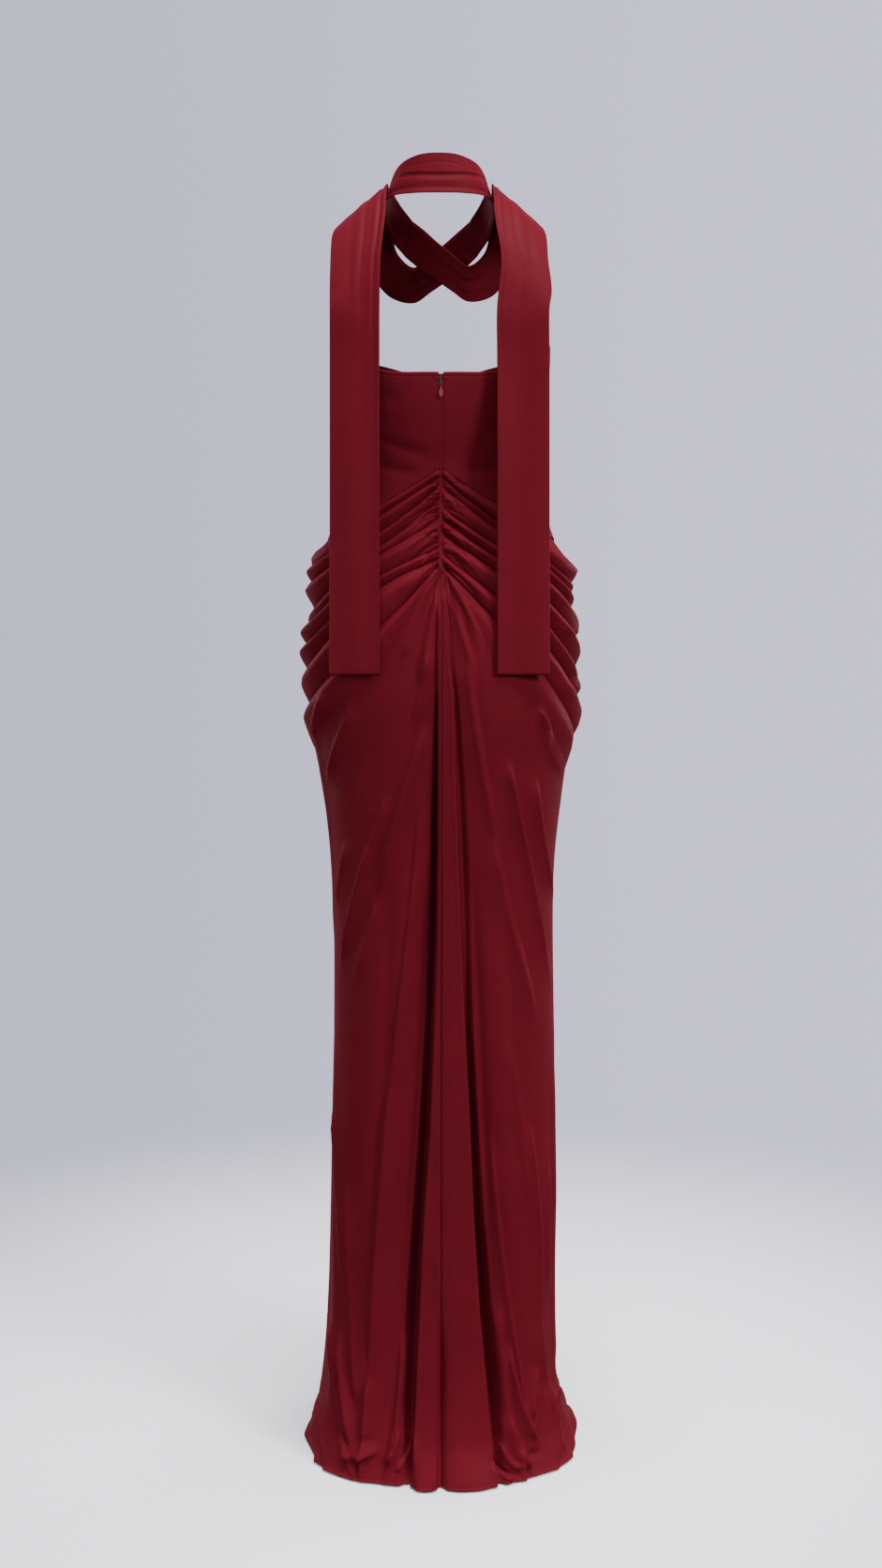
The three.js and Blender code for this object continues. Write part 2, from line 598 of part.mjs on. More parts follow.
function ribbonGrid(rows, columns, steps, wave) {
  const curve = (points) => new THREE.CatmullRomCurve3(
    points.map((point) => new THREE.Vector3(...point)),
    false,
    'centripetal',
  );
  const near = curve(rows.map((row) => row.near));
  const far = curve(rows.map((row) => row.far));
  const grid = [];
  for (let i = 0; i <= steps; i += 1) {
    const along = i / steps;
    const a = near.getPoint(along);
    const b = far.getPoint(along);
    const before = near.getPoint(Math.max(0, along - aheadStep));
    const ahead = near.getPoint(Math.min(1, along + aheadStep)).sub(before);
    const normal = ahead.cross(b.clone().sub(a)).normalize();
    const row = [];
    for (let j = 0; j <= columns; j += 1) {
      row.push(a.clone().lerp(b, j / columns).addScaledVector(normal, wave(along, j / columns)));
    }
    grid.push(row);
  }
  return grid;
}

function scarfEnd(side) {
  const behindSkirt = reachBehind(side, tailWidths[side].near, tailFoot, tailSettles.foot);
  const hang = behindSkirt + tailStandOff + wallThickness;
  const rows = overShoulder.map((row, i) => {
    const lift = side < 0 ? throatLift * ease(0, 1.2, i) * (1 - ease(4, 6, i)) : 0;
    const place = ([x, y, z]) => [side * x, y + lift, z];
    return { near: place(row.near), far: place(row.far) };
  });
  const { near, far } = tailWidths[side];
  for (let i = 0; i < tailRows; i += 1) {
    const height = mix(tailTop.height, tailFoot, i / (tailRows - 1));
    const settled = ease(tailSettles.top, tailSettles.foot, height);
    const behind = mix(tailTop.behind, hang, settled);
    rows.push({
      near: [side * near, behind, height],
      far: [side * far, behind - mix(tailInset.top, tailInset.foot, settled), height],
    });
  }
  const pleat = (along, across) => {
    const wave = Math.sin(across * 2 * Math.PI * tailPleat.count);
    return -side * tailPleat.reach * (1 - ease(0.5, 0.85, along)) * wave;
  };
  return ribbonGrid(rows, ribbonColumns, tailSteps, pleat);
}

const bandPleat = { reach: 1.8, count: 1.2 };
const bandFold = (along, across) => bandPleat.reach * Math.sin(across * 2 * Math.PI * bandPleat.count)
  * Math.sin(along * Math.PI) ** 0.5;

// The zip: a chain in the centre-back gap, a slider cast in one with its bridge, and a teardrop pull whose
// top bar passes under the bridge.
function zipChain() {
  const grid = [];
  for (let i = 0; i <= chainSteps; i += 1) {
    const height = mix(chainTop, chainFoot, i / chainSteps);
    const surface = height > valleyHeight(1, 0, 0) ? bodicePoint(1, 0, height) : skirtPoint(1, 0, height);
    const behind = surface.y - chainSink;
    grid.push([chainHalfWidth, -chainHalfWidth].map((x) => new THREE.Vector3(x, behind, height)));
  }
  const how = { thickness: chainThickness, facing: () => acrossSide, seams: [acrossBack, acrossBack] };
  return clothWall(grid, how);
}

const barHalf = pull.bar / 2;
const sliderFace = bodicePoint(1, 0, slider.middle).y + slider.thickness / 2;
const barOut = sliderFace + (bridge.reach - bridge.wall) / 2;
const barDrop = bridge.length / 2 - bridge.wall - barHalf - pull.play;

function extrudeAcross(shape, width) {
  const geometry = new THREE.ExtrudeGeometry(shape, { depth: width, bevelEnabled: false, curveSegments: 7 });
  return geometry.translate(0, 0, -width / 2);
}

function sliderBody() {
  const halfWidth = slider.width / 2;
  const halfFoot = slider.footWidth / 2;
  const half = slider.length / 2;
  const shape = new THREE.Shape();
  shape.moveTo(-halfWidth, half);
  shape.lineTo(-halfFoot, -half);
  shape.lineTo(halfFoot, -half);
  shape.lineTo(halfWidth, half);
  shape.closePath();
  return extrudeAcross(shape, slider.thickness).rotateX(quarterTurn).translate(0, -slider.thickness / 2, 0);
}

// The bridge is drawn in the plane of reach and height, with its feet sunk into the slider's body.
function bridgeBody() {
  const half = bridge.length / 2;
  const clear = bridge.reach - bridge.wall;
  const foot = -slider.thickness / 2;
  const shape = new THREE.Shape();
  shape.moveTo(foot, -half);
  shape.lineTo(clear, -half);
  shape.lineTo(bridge.reach, -half + bridge.wall);
  shape.lineTo(bridge.reach, half - bridge.wall);
  shape.lineTo(clear, half);
  shape.lineTo(foot, half);
  shape.lineTo(foot, half - bridge.wall);
  shape.lineTo(clear, half - bridge.wall);
  shape.lineTo(clear, -half + bridge.wall);
  shape.lineTo(foot, -half + bridge.wall);
  shape.closePath();
  return extrudeAcross(shape, bridge.width).rotateX(quarterTurn).rotateZ(quarterTurn);
}

function asSolid(geometry) {
  geometry.deleteAttribute('normal');
  geometry.deleteAttribute('uv');
  const merged = mergeVertices(geometry, 1e-4);
  return new wasm.Manifold(new wasm.Mesh({
    numProp: 3,
    vertProperties: new Float32Array(merged.attributes.position.array),
    triVerts: new Uint32Array(merged.index.array),
  }));
}

function joined(...geometries) {
  const mesh = geometries.map(asSolid).reduce((whole, solid) => whole.add(solid)).getMesh();
  const geometry = new THREE.BufferGeometry();
  geometry.setAttribute('position', new THREE.Float32BufferAttribute(mesh.vertProperties, 3));
  geometry.setIndex([...mesh.triVerts]);
  geometry.computeVertexNormals();
  return geometry;
}

function pullBody() {
  const arm = pull.eyeHalfWidth + pull.arm;
  const foot = barHalf - pull.length;
  const shoulder = foot + pull.width;
  const halfWidth = pull.width / 2;
  const shape = new THREE.Shape();
  shape.moveTo(-arm, barHalf);
  shape.lineTo(-arm, -pull.eyeFoot - pull.arm);
  shape.quadraticCurveTo(-pull.neckHalfWidth, -pull.eyeFoot - 2.4 * pull.arm, -halfWidth, shoulder);
  shape.quadraticCurveTo(-halfWidth, foot, 0, foot);
  shape.quadraticCurveTo(halfWidth, foot, halfWidth, shoulder);
  shape.quadraticCurveTo(pull.neckHalfWidth, -pull.eyeFoot - 2.4 * pull.arm, arm, -pull.eyeFoot - pull.arm);
  shape.lineTo(arm, barHalf);
  shape.closePath();
  const eye = new THREE.Path();
  eye.moveTo(-pull.eyeHalfWidth, -barHalf);
  eye.lineTo(pull.eyeHalfWidth, -barHalf);
  eye.lineTo(pull.eyeHalfWidth, -pull.eyeFoot);
  eye.lineTo(-pull.eyeHalfWidth, -pull.eyeFoot);
  eye.closePath();
  shape.holes.push(eye);
  return extrudeAcross(shape, pull.thickness).rotateX(quarterTurn);
}

const dress = new THREE.Group();
dress.position.z = -gripHeight;

const left = 1;
const right = -1;
const backSeams = { seams: [acrossBack, acrossSide] };
const sideSeams = { seams: [acrossSide, acrossSide] };
const addWall = (name, grid, how) => dress.add(piece(name, clothWall(grid, how), red));

addWall('skirt_back_left', backSkirt(left), { ...backSeams, waist: 0, floor: 0 });
addWall('skirt_back_right', backSkirt(right), { ...backSeams, waist: 0, floor: 0 });
addWall('skirt_front', frontSkirt(), { ...sideSeams, waist: 0, floor: 0 });
addWall('bodice_back_left', bodiceBack(left), { ...backSeams, waist: bodiceRows });
addWall('bodice_back_right', bodiceBack(right), { ...backSeams, waist: bodiceRows });
addWall('bodice_front', bodiceFront(), { ...sideSeams, waist: bodiceRows });
addWall('scarf_neck', ribbonGrid(neckBand, ribbonColumns, bandSteps, bandFold));
addWall('scarf_left', scarfEnd(left));
addWall('scarf_right', scarfEnd(right));
dress.add(piece('zip_chain', zipChain(), chainRed));

const sliderMesh = piece('zip_slider', joined(sliderBody(), bridgeBody()), zipRed);
sliderMesh.position.set(0, sliderFace, slider.middle);
dress.add(sliderMesh);

const pullMesh = piece('zip_pull', pullBody(), zipRed);
pullMesh.position.set(0, barOut, slider.middle - barDrop);
dress.add(pullMesh);

export default dress;
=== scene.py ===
import bpy
import bmesh
import math
import numpy as np
from mathutils import Matrix, Vector


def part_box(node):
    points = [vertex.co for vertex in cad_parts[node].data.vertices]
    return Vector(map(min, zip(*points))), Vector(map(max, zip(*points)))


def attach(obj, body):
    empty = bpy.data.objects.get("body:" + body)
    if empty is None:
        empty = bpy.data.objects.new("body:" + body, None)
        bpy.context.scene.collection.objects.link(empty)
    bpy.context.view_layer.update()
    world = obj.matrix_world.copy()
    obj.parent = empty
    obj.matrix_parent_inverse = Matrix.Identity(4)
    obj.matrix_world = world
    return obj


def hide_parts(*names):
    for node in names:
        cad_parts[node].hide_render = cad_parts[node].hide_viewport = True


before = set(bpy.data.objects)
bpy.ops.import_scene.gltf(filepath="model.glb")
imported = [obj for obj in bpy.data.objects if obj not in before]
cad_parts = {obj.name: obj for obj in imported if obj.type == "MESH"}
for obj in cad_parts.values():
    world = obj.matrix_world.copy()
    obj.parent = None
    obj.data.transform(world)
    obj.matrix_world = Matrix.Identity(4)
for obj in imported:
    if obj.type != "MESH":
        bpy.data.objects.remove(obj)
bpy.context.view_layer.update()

# Tables are in millimetres, with heights above the floor that the hem rests on. The wearer's left is +X and
# the back is +Y. An angle round the body goes from the centre back, 0, over the side seam to the centre
# front, pi, and side is 1 on the wearer's left and -1 on the right.
gripHeight = 1280
quarterTurn = math.pi / 2
seamHalf = 0.15  # half of the gap at a seam
clothThickness = 0.9

sections = np.array([
    # height, half width, front, back
    (1400, 137, 96, 100), (1370, 138, 106, 105), (1330, 136, 113, 108), (1290, 131, 113, 104),
    (1250, 126, 105, 96), (1215, 124, 97, 88), (1180, 129, 92, 86), (1150, 136, 91, 88),
    (1125, 145, 93, 92), (1100, 157, 97, 99), (1075, 162, 100, 106), (1040, 164, 103, 113),
    (1000, 167, 105, 118), (960, 168, 106, 120), (920, 166, 106, 119), (880, 160, 105, 116),
    (840, 153, 104, 112), (790, 146.5, 102, 108), (740, 141.5, 100, 105), (680, 139, 99, 103),
    (580, 138.5, 98, 102), (440, 140, 98, 103), (300, 141, 100, 106), (200, 142, 103, 110),
    (130, 144, 108, 116), (80, 148, 115, 123), (45, 153.5, 125, 132), (22, 160, 135, 141),
    (9, 165, 143, 148), (4, 169, 147, 151), (2.4, 172.5, 150, 153),
])


def ease(low, high, value):
    t = np.clip((value - low) / (high - low), 0, 1)
    return t * t * (3 - 2 * t)


def curveThrough(table, column, at, levelEnd=False):
    rows = table[np.argsort(table[:, 0])]
    x, y = rows[:, 0], rows[:, column]
    slope = np.empty(len(x))
    slope[1:-1] = (y[2:] - y[:-2]) / (x[2:] - x[:-2])
    slope[0] = (y[1] - y[0]) / (x[1] - x[0])
    slope[-1] = 0 if levelEnd else (y[-1] - y[-2]) / (x[-1] - x[-2])
    at = np.clip(at, x[0], x[-1])
    i = np.clip(np.searchsorted(x, at, side="right") - 1, 0, len(x) - 2)
    span = x[i + 1] - x[i]
    t = (at - x[i]) / span
    s = 1 - t
    return (y[i] * s * s * (1 + 2 * t) + y[i + 1] * t * t * (3 - 2 * t)
            + span * (slope[i] * s * s * t - slope[i + 1] * t * t * s))


def linesThrough(table, column, at):
    rows = table[np.argsort(table[:, 0])]
    return np.interp(at, rows[:, 0], rows[:, column])


def halfWidthAt(height):
    return curveThrough(sections, 1, height)


def fullnessAt(angle):
    return 1 + 0.06 * np.sin(2 * angle) ** 2


def bodyPoint(side, angle, height, relief):
    halfWidth = halfWidthAt(height)
    depth = np.where(np.cos(angle) > 0, curveThrough(sections, 3, height), curveThrough(sections, 2, height))
    outX = np.sin(angle) / halfWidth
    outY = np.cos(angle) / depth
    length = np.hypot(outX, outY)
    x = side * (halfWidth * np.sin(angle) * fullnessAt(angle) + outX / length * relief)
    y = depth * np.cos(angle) * fullnessAt(angle) + outY / length * relief
    return np.stack([x, y, height + 0 * x], axis=-1)


def angleAt(distance, height):
    return np.arcsin(np.minimum(0.999, distance / halfWidthAt(height)))


# A node of a shader or geometry tree, with its attributes set and its inputs joined or given a value.
def addNode(tree, kind, inputs=None, **settings):
    node = tree.nodes.new(kind)
    for key, value in settings.items():
        setattr(node, key, value)
    for key, value in (inputs or {}).items():
        if isinstance(value, bpy.types.NodeSocket):
            tree.links.new(value, node.inputs[key])
        else:
            node.inputs[key].default_value = value
    return node


def newGroup(name, kind, inputs, outputs):
    group = bpy.data.node_groups.new(name, kind)
    for label, socketKind, value in inputs:
        socket = group.interface.new_socket(name=label, in_out="INPUT", socket_type=socketKind)
        if value is not None:
            socket.default_value = value
    for label, socketKind in outputs:
        group.interface.new_socket(name=label, in_out="OUTPUT", socket_type=socketKind)
    return group, group.nodes.new("NodeGroupInput"), group.nodes.new("NodeGroupOutput")


def math2(tree, operation, a, b=0.0):
    return addNode(tree, "ShaderNodeMath", {0: a, 1: b}, operation=operation).outputs[0]


# Crepe jersey: a fine diagonal rib under pebbled yarn, and a slow drift of the dye.
def makeCrepeGroup():
    group, given, result = newGroup("crepeJersey", "ShaderNodeTree", [
        ("Vector", "NodeSocketVector", None),
        ("Ribs per metre", "NodeSocketFloat", 520.0),
        ("Pebbles per metre", "NodeSocketFloat", 900.0),
        ("Drift per metre", "NodeSocketFloat", 14.0),
    ], [("Height", "NodeSocketFloat"), ("Tone", "NodeSocketFloat")])
    apart = addNode(group, "ShaderNodeSeparateXYZ", {"Vector": given.outputs["Vector"]})
    slanted = math2(group, "ADD", apart.outputs["X"], math2(group, "MULTIPLY", apart.outputs["Y"], 0.8))
    wander = addNode(group, "ShaderNodeTexNoise", {
        "Vector": given.outputs["Vector"], "Scale": 60.0, "Detail": 1.0})
    turns = math2(group, "MULTIPLY", slanted, given.outputs["Ribs per metre"])
    turns = math2(group, "ADD", turns, math2(group, "MULTIPLY", wander.outputs["Fac"], 2.5))
    rib = math2(group, "SINE", math2(group, "MULTIPLY", turns, 2 * math.pi))
    pebble = addNode(group, "ShaderNodeTexNoise", {
        "Vector": given.outputs["Vector"], "Scale": given.outputs["Pebbles per metre"], "Detail": 2.0,
        "Roughness": 0.6})
    height = math2(group, "ADD", math2(group, "MULTIPLY", rib, 0.22), pebble.outputs["Fac"])
    group.links.new(height, result.inputs["Height"])
    drift = addNode(group, "ShaderNodeTexNoise", {
        "Vector": given.outputs["Vector"], "Scale": given.outputs["Drift per metre"], "Detail": 3.0})
    tone = math2(group, "ADD", math2(group, "MULTIPLY", drift.outputs["Fac"], 0.7),
                 math2(group, "MULTIPLY", pebble.outputs["Fac"], 0.3))
    group.links.new(tone, result.inputs["Tone"])
    return group


crepeGroup = makeCrepeGroup()

jerseyLook = {
    "deep": (0.069, 0.0042, 0.0083, 1), "bright": (0.104, 0.0064, 0.0124, 1),
    "smoothest": 0.42, "roughest": 0.56,
    "bump": 0.5, "bumpDistance": 0.00035,
    "sheen": 0.1, "sheenTint": (0.9, 0.08, 0.15, 1), "sheenRoughness": 0.32, "specular": 0.015,
}


def makeJersey(name, look, brightness=1.0):
    material = bpy.data.materials.new(name)
    material.use_nodes = True
    tree = material.node_tree
    shader = tree.nodes["Principled BSDF"]
    coordinates = addNode(tree, "ShaderNodeTexCoord")
    crepe = addNode(tree, "ShaderNodeGroup", node_tree=crepeGroup)
    tree.links.new(coordinates.outputs["UV"], crepe.inputs["Vector"])
    deep = tuple(c * brightness for c in look["deep"][:3]) + (1,)
    bright = tuple(c * brightness for c in look["bright"][:3]) + (1,)
    dye = addNode(tree, "ShaderNodeMix", data_type="RGBA")
    tree.links.new(crepe.outputs["Tone"], dye.inputs[0])
    dye.inputs[6].default_value = deep
    dye.inputs[7].default_value = bright
    tree.links.new(dye.outputs[2], shader.inputs["Base Color"])
    rough = addNode(tree, "ShaderNodeMapRange", {
        "Value": crepe.outputs["Tone"], "To Min": look["smoothest"], "To Max": look["roughest"]})
    tree.links.new(rough.outputs["Result"], shader.inputs["Roughness"])
    bump = addNode(tree, "ShaderNodeBump", {
        "Height": crepe.outputs["Height"], "Strength": look["bump"], "Distance": look["bumpDistance"]})
    tree.links.new(bump.outputs["Normal"], shader.inputs["Normal"])
    shader.inputs["Sheen Weight"].default_value = look["sheen"]
    shader.inputs["Sheen Tint"].default_value = look["sheenTint"]
    shader.inputs["Sheen Roughness"].default_value = look["sheenRoughness"]
    shader.inputs["Specular IOR Level"].default_value = look["specular"]
    return material


jersey = makeJersey("jersey", jerseyLook)


# A closed cloth wall on a grid of points, with its rows going down. The wall lies on the grid's outer side
# where the columns run from right to left as seen from outside, as the dress's and the scarf ends' do, and on
# its inner side where they run the other way. Its four edges are rounded, and bulge by the given share of the
# thickness: top, foot, first column and last column.
def clothShell(name, grid, material, thickness=clothThickness, bulge=(0.45, 0.45, 0.12, 0.12)):
    rows, columns = grid.shape[:2]
    across = np.gradient(grid, axis=1)
    down = np.gradient(grid, axis=0)
    normal = np.cross(down, across)
    normal /= np.linalg.norm(normal, axis=2, keepdims=True) + 1e-9
    wide = np.pad(normal, ((1, 1), (1, 1), (0, 0)), mode="edge")
    even = sum(wide[1 + a:1 + a + rows, 1 + b:1 + b + columns] for a in (-1, 0, 1) for b in (-1, 0, 1))
    even /= np.linalg.norm(even, axis=2, keepdims=True) + 1e-9
    offset = grid - even * thickness

    at = np.arange(rows * columns).reshape(rows, columns)
    border = np.concatenate([at[0, :-1], at[:-1, -1], at[-1, :0:-1], at[:0:-1, 0]])
    flatGrid, flatOffset = grid.reshape(-1, 3), offset.reshape(-1, 3)
    outward = np.zeros((rows * columns, 3))
    for line, inside, share in ((at[0], at[1], bulge[0]), (at[-1], at[-2], bulge[1]),
                                (at[:, 0], at[:, 1], bulge[2]), (at[:, -1], at[:, -2], bulge[3])):
        away = flatGrid[line] - flatGrid[inside]
        away /= np.linalg.norm(away, axis=1, keepdims=True) + 1e-9
        outward[line] += away * share
    wall = np.linalg.norm(flatGrid[border] - flatOffset[border], axis=1, keepdims=True)
    middle = (flatGrid[border] + flatOffset[border]) / 2 + outward[border] * wall

    count = rows * columns
    points = np.concatenate([flatGrid, flatOffset, middle])
    a, b, c, d = at[:-1, :-1].ravel(), at[:-1, 1:].ravel(), at[1:, 1:].ravel(), at[1:, :-1].ravel()
    faces = [np.stack([a, d, c, b], 1), np.stack([a, b, c, d], 1) + count]
    here, there = np.arange(len(border)), np.roll(np.arange(len(border)), -1)
    rim = 2 * count
    faces.append(np.stack([border[here], border[there], rim + there, rim + here], 1))
    faces.append(np.stack([rim + here, rim + there, border[there] + count, border[here] + count], 1))
    faces = np.concatenate(faces)

    stepsAcross = np.linalg.norm(np.diff(grid, axis=1), axis=2)
    stepsDown = np.linalg.norm(np.diff(grid, axis=0), axis=2)
    along = np.concatenate([np.zeros((rows, 1)), np.cumsum(stepsAcross, 1)], 1)
    drop = np.concatenate([np.zeros((1, columns)), np.cumsum(stepsDown, 0)])
    uv = np.stack([along, -drop], -1).reshape(-1, 2) * 0.001
    uv = np.concatenate([uv, uv, uv[border]])

    mesh = bpy.data.meshes.new(name)
    place = points * 0.001 - np.array([0, 0, gripHeight * 0.001])
    mesh.vertices.add(len(place))
    mesh.vertices.foreach_set("co", place.astype(np.float32).ravel())
    mesh.loops.add(faces.size)
    mesh.loops.foreach_set("vertex_index", faces.astype(np.int32).ravel())
    mesh.polygons.add(len(faces))
    mesh.polygons.foreach_set("loop_start", np.arange(0, faces.size, 4, dtype=np.int32))
    mesh.update(calc_edges=True)
    mesh.polygons.foreach_set("use_smooth", np.ones(len(faces), dtype=bool))
    layer = mesh.uv_layers.new(name="cloth")
    layer.data.foreach_set("uv", uv[faces.ravel()].astype(np.float32).ravel())
    mesh.materials.append(material)
    mesh.validate()
    piece = bpy.data.objects.new(name, mesh)
    bpy.context.scene.collection.objects.link(piece)
    area = np.linalg.norm(np.cross(across, down), axis=2)[:-1, :-1].sum() * 1e-6
    print(f"{name}: {2 * len(faces)} triangles, {area:.3f} square metres of cloth")
    return piece


# The folds that swag round the hips, each by the valley above it: the valley's height at six angles, the
# fold's depth, and how far down it its crest lies.
foldAngles = [0, 0.47, 0.99, quarterTurn, 2.25, math.pi]
folds = {
    1: [
        (1209, 1171, 1134, 1129, 1122, 1128, 7, 0.5),
        (1199, 1159, 1109, 1094, 1085, 1102, 10, 0.4),
        (1191, 1136, 1087, 1076, 1064, 1077, 11, 0.36),
        (1176, 1116, 1056, 1038, 1028, 1046, 5, 0.5),
        (1150, 1102, 1040, 1018, 1006, 1018, 11, 0.4),
        (1113, 1074, 1013, 995, 980, 989, 13, 0.36),
        (1099, 1060, 989, 960, 945, 957, 13, 0.36),
        (1091, 1010, 944, 917, 903, 914, 11, 0.3),
        (1080, 960, 896, 864, 852, 860, 0, 0.4),
    ],
    -1: [
        (1209, 1169, 1134, 1129, 1122, 1128, 12, 0.66),
        (1199, 1148, 1089, 1073, 1064, 1102, 5, 0.4),
        (1188, 1136, 1079, 1060, 1050, 1077, 7, 0.42),
        (1162, 1112, 1063, 1038, 1028, 1046, 10, 0.4),
        (1147, 1094, 1034, 1000, 990, 1018, 12, 0.4),
        (1130, 1074, 997, 958, 948, 989, 10, 0.38),
        (1104, 1042, 969, 928, 918, 957, 9, 0.4),
        (1091, 1010, 926, 880, 872, 914, 4, 0.4),
        (1080, 956, 876, 838, 836, 860, 0, 0.4),
    ],
}
foldShare = np.array([
    (0, 0.62), (0.47, 0.8), (0.99, 0.92), (quarterTurn, 1), (2.1, 0.8), (2.6, 0.45), (math.pi, 0.3),
])
steepestFold = 0.42  # a crest's greatest rise, as a share of the height between its valleys
valleyCrease = {"depth": 1.8, "breadth": 1.6, "nearSeam": 1.1}


def valleyHeight(side, number, angle):
    table = np.array([[a, folds[side][number][i]] for i, a in enumerate(foldAngles)], float)
    return curveThrough(table, 1, angle, levelEnd=True)


# From a sharp valley, 0, up to a crest, 1, that is nearly pointed.
def crestShape(t):
    return 0.75 * t + 0.25 * np.sin(quarterTurn * t)


def foldRelief(side, angle, height):
    relief = np.zeros_like(angle)
    share = curveThrough(foldShare, 1, angle)
    towardsFront = ease(quarterTurn, math.pi, angle)
    above = valleyHeight(side, 0, angle)
    for number in range(len(folds[side]) - 1):
        below = valleyHeight(side, number + 1, angle)
        own = folds[side][number][6]
        even = (folds[1][number][6] + folds[-1][number][6]) / 2
        depth = own + (even - own) * towardsFront
        peak = folds[side][number][7] + (0.4 - folds[side][number][7]) * towardsFront
        t = np.clip((above - height) / (above - below), 0, 1)
        rising = crestShape(np.clip(t / peak, 0, 1))
        falling = crestShape(1 - np.clip((t - peak) / (1 - peak), 0, 1))
        crest = np.minimum(depth * share, steepestFold * (above - below))
        relief = np.where((height <= above) & (height > below), crest * rising * falling, relief)
        if number:
            pressed = valleyCrease["depth"] * np.minimum(1, share) * (1 - 0.8 * towardsFront)
            pressed *= 1 + valleyCrease["nearSeam"] * (1 - ease(0.15, 0.55, angle))
            relief -= pressed * np.exp(-np.abs(height - above) / valleyCrease["breadth"])
        above = below
    return relief


# How much fuller the dress is at either side seam than its sections, by height.
sideExtra = {
    1: [(1140, 0), (1120, -2), (1106, 5), (1090, 3), (1075, 0), (1047, -6), (1012, 2), (1000, 0), (985, -2),
        (960, -4), (925, -3), (905, -1), (870, 2), (840, 1), (790, -3), (700, -5), (500, -6), (300, -3.5),
        (200, -2), (120, 0), (60, 1), (42, 1), (22, -1), (8, -4), (2, -4)],
    -1: [(1140, 0), (1120, -4), (1108, -6), (1099, -3), (1090, 3), (1070, 0), (1042, -4), (1013, 2),
         (1005, -2), (965, -5), (955, -5), (942, 2), (925, 2), (913, 4), (895, 7), (885, 7), (870, 4),
         (850, 4), (800, 4), (700, 2.5), (500, 4), (400, 3), (310, 4), (220, 1), (120, -1), (95, -5),
         (75, -5), (50, -3), (20, -1)],
}


def sideRelief(side, angle, height):
    table = np.array(sideExtra[side], float)[::-1]
    return np.interp(height, table[:, 0], table[:, 1]) * np.exp(-((angle - quarterTurn) / 0.5) ** 2)


# The pleats beside the centre-back seam: strip edge, its bank and depth, panel edge, its bank and depth.
pleats = np.array([
    (1030, 3.4, 5.4, 1, 5, 9, 0), (980, 3.4, 5.4, 3, 9, 14, 2), (934, 3.4, 6, 8, 14.5, 20, 5),
    (888, 3.2, 7.4, 19, 16, 24, 7), (821, 3, 9.5, 26, 17.5, 29, 8), (754, 3, 12, 30, 20, 33, 9),
    (641, 4.2, 16, 31, 24, 37, 11), (528, 8.4, 20.5, 28, 29, 39.5, 17), (416, 13, 28, 28, 35, 46, 24),
    (303, 20.8, 37, 30, 39.5, 53, 26), (191, 26, 46, 30, 46, 62, 27), (80, 30.4, 50, 27, 55.7, 72, 25),
    (35, 33, 49, 22, 60, 73, 20), (8, 36, 48, 13, 64, 74, 11), (0, 37, 48, 9, 65, 74, 7),
])


def pleatEdges(side, height):
    return [linesThrough(pleats, column, height) for column in ((1, 2, 3) if side > 0 else (4, 5, 6))]


# Each pleat drops from a rounded fold into its valley and climbs back over a soft bank.
def pleatRelief(side, distance, height):
    edge, bank, depth = pleatEdges(side, height)
    width = bank - edge
    drop = ease(edge - 1.2, edge + 1.2, distance)
    climb = 0.66 * ease(edge + 0.5 * width, bank + 2, distance) + 0.34 * ease(bank - 2, bank + 42, distance)
    groove = 1.8 * ease(1030, 700, height) * (1 - ease(0, 2.4, distance))
    lip = 0.9 * ease(980, 900, height) * np.exp(-((distance - edge + 2.6) / 1.8) ** 2)
    return lip - depth * drop * (1 - climb) - groove


# Broad soft folds of the hanging skirt at the sides and front: side, top angle and height, foot angle and
# height, breadth, rise.
softFolds = [
    (1, 1.18, 880, 1.42, 640, 13, 3), (1, 1.2, 480, 1.0, 30, 14, 3.5), (-1, 1.3, 480, 1.25, 30, 14, 3.5),
    (1, 2.0, 800, 1.85, 30, 18, 5), (1, 2.55, 860, 2.4, 30, 18, 5),
    (-1, 2.05, 780, 1.9, 30, 18, 5), (-1, 2.6, 880, 2.5, 30, 18, 5),
]


def softRelief(side, angle, height):
    relief = np.zeros_like(angle)
    for foldSide, topAngle, top, footAngle, foot, breadth, rise in softFolds:
        if foldSide == side:
            along = (top - height) / (top - foot)
            crest = topAngle + (footAngle - topAngle) * np.clip(along, 0, 1)
            away = (angle - crest) * halfWidthAt(height) / breadth
            ends = ease(-0.12, 0.18, along) * (1 - 0.5 * ease(0.9, 1.1, along))
            relief += rise * np.exp(-away * away) * ends
    return relief


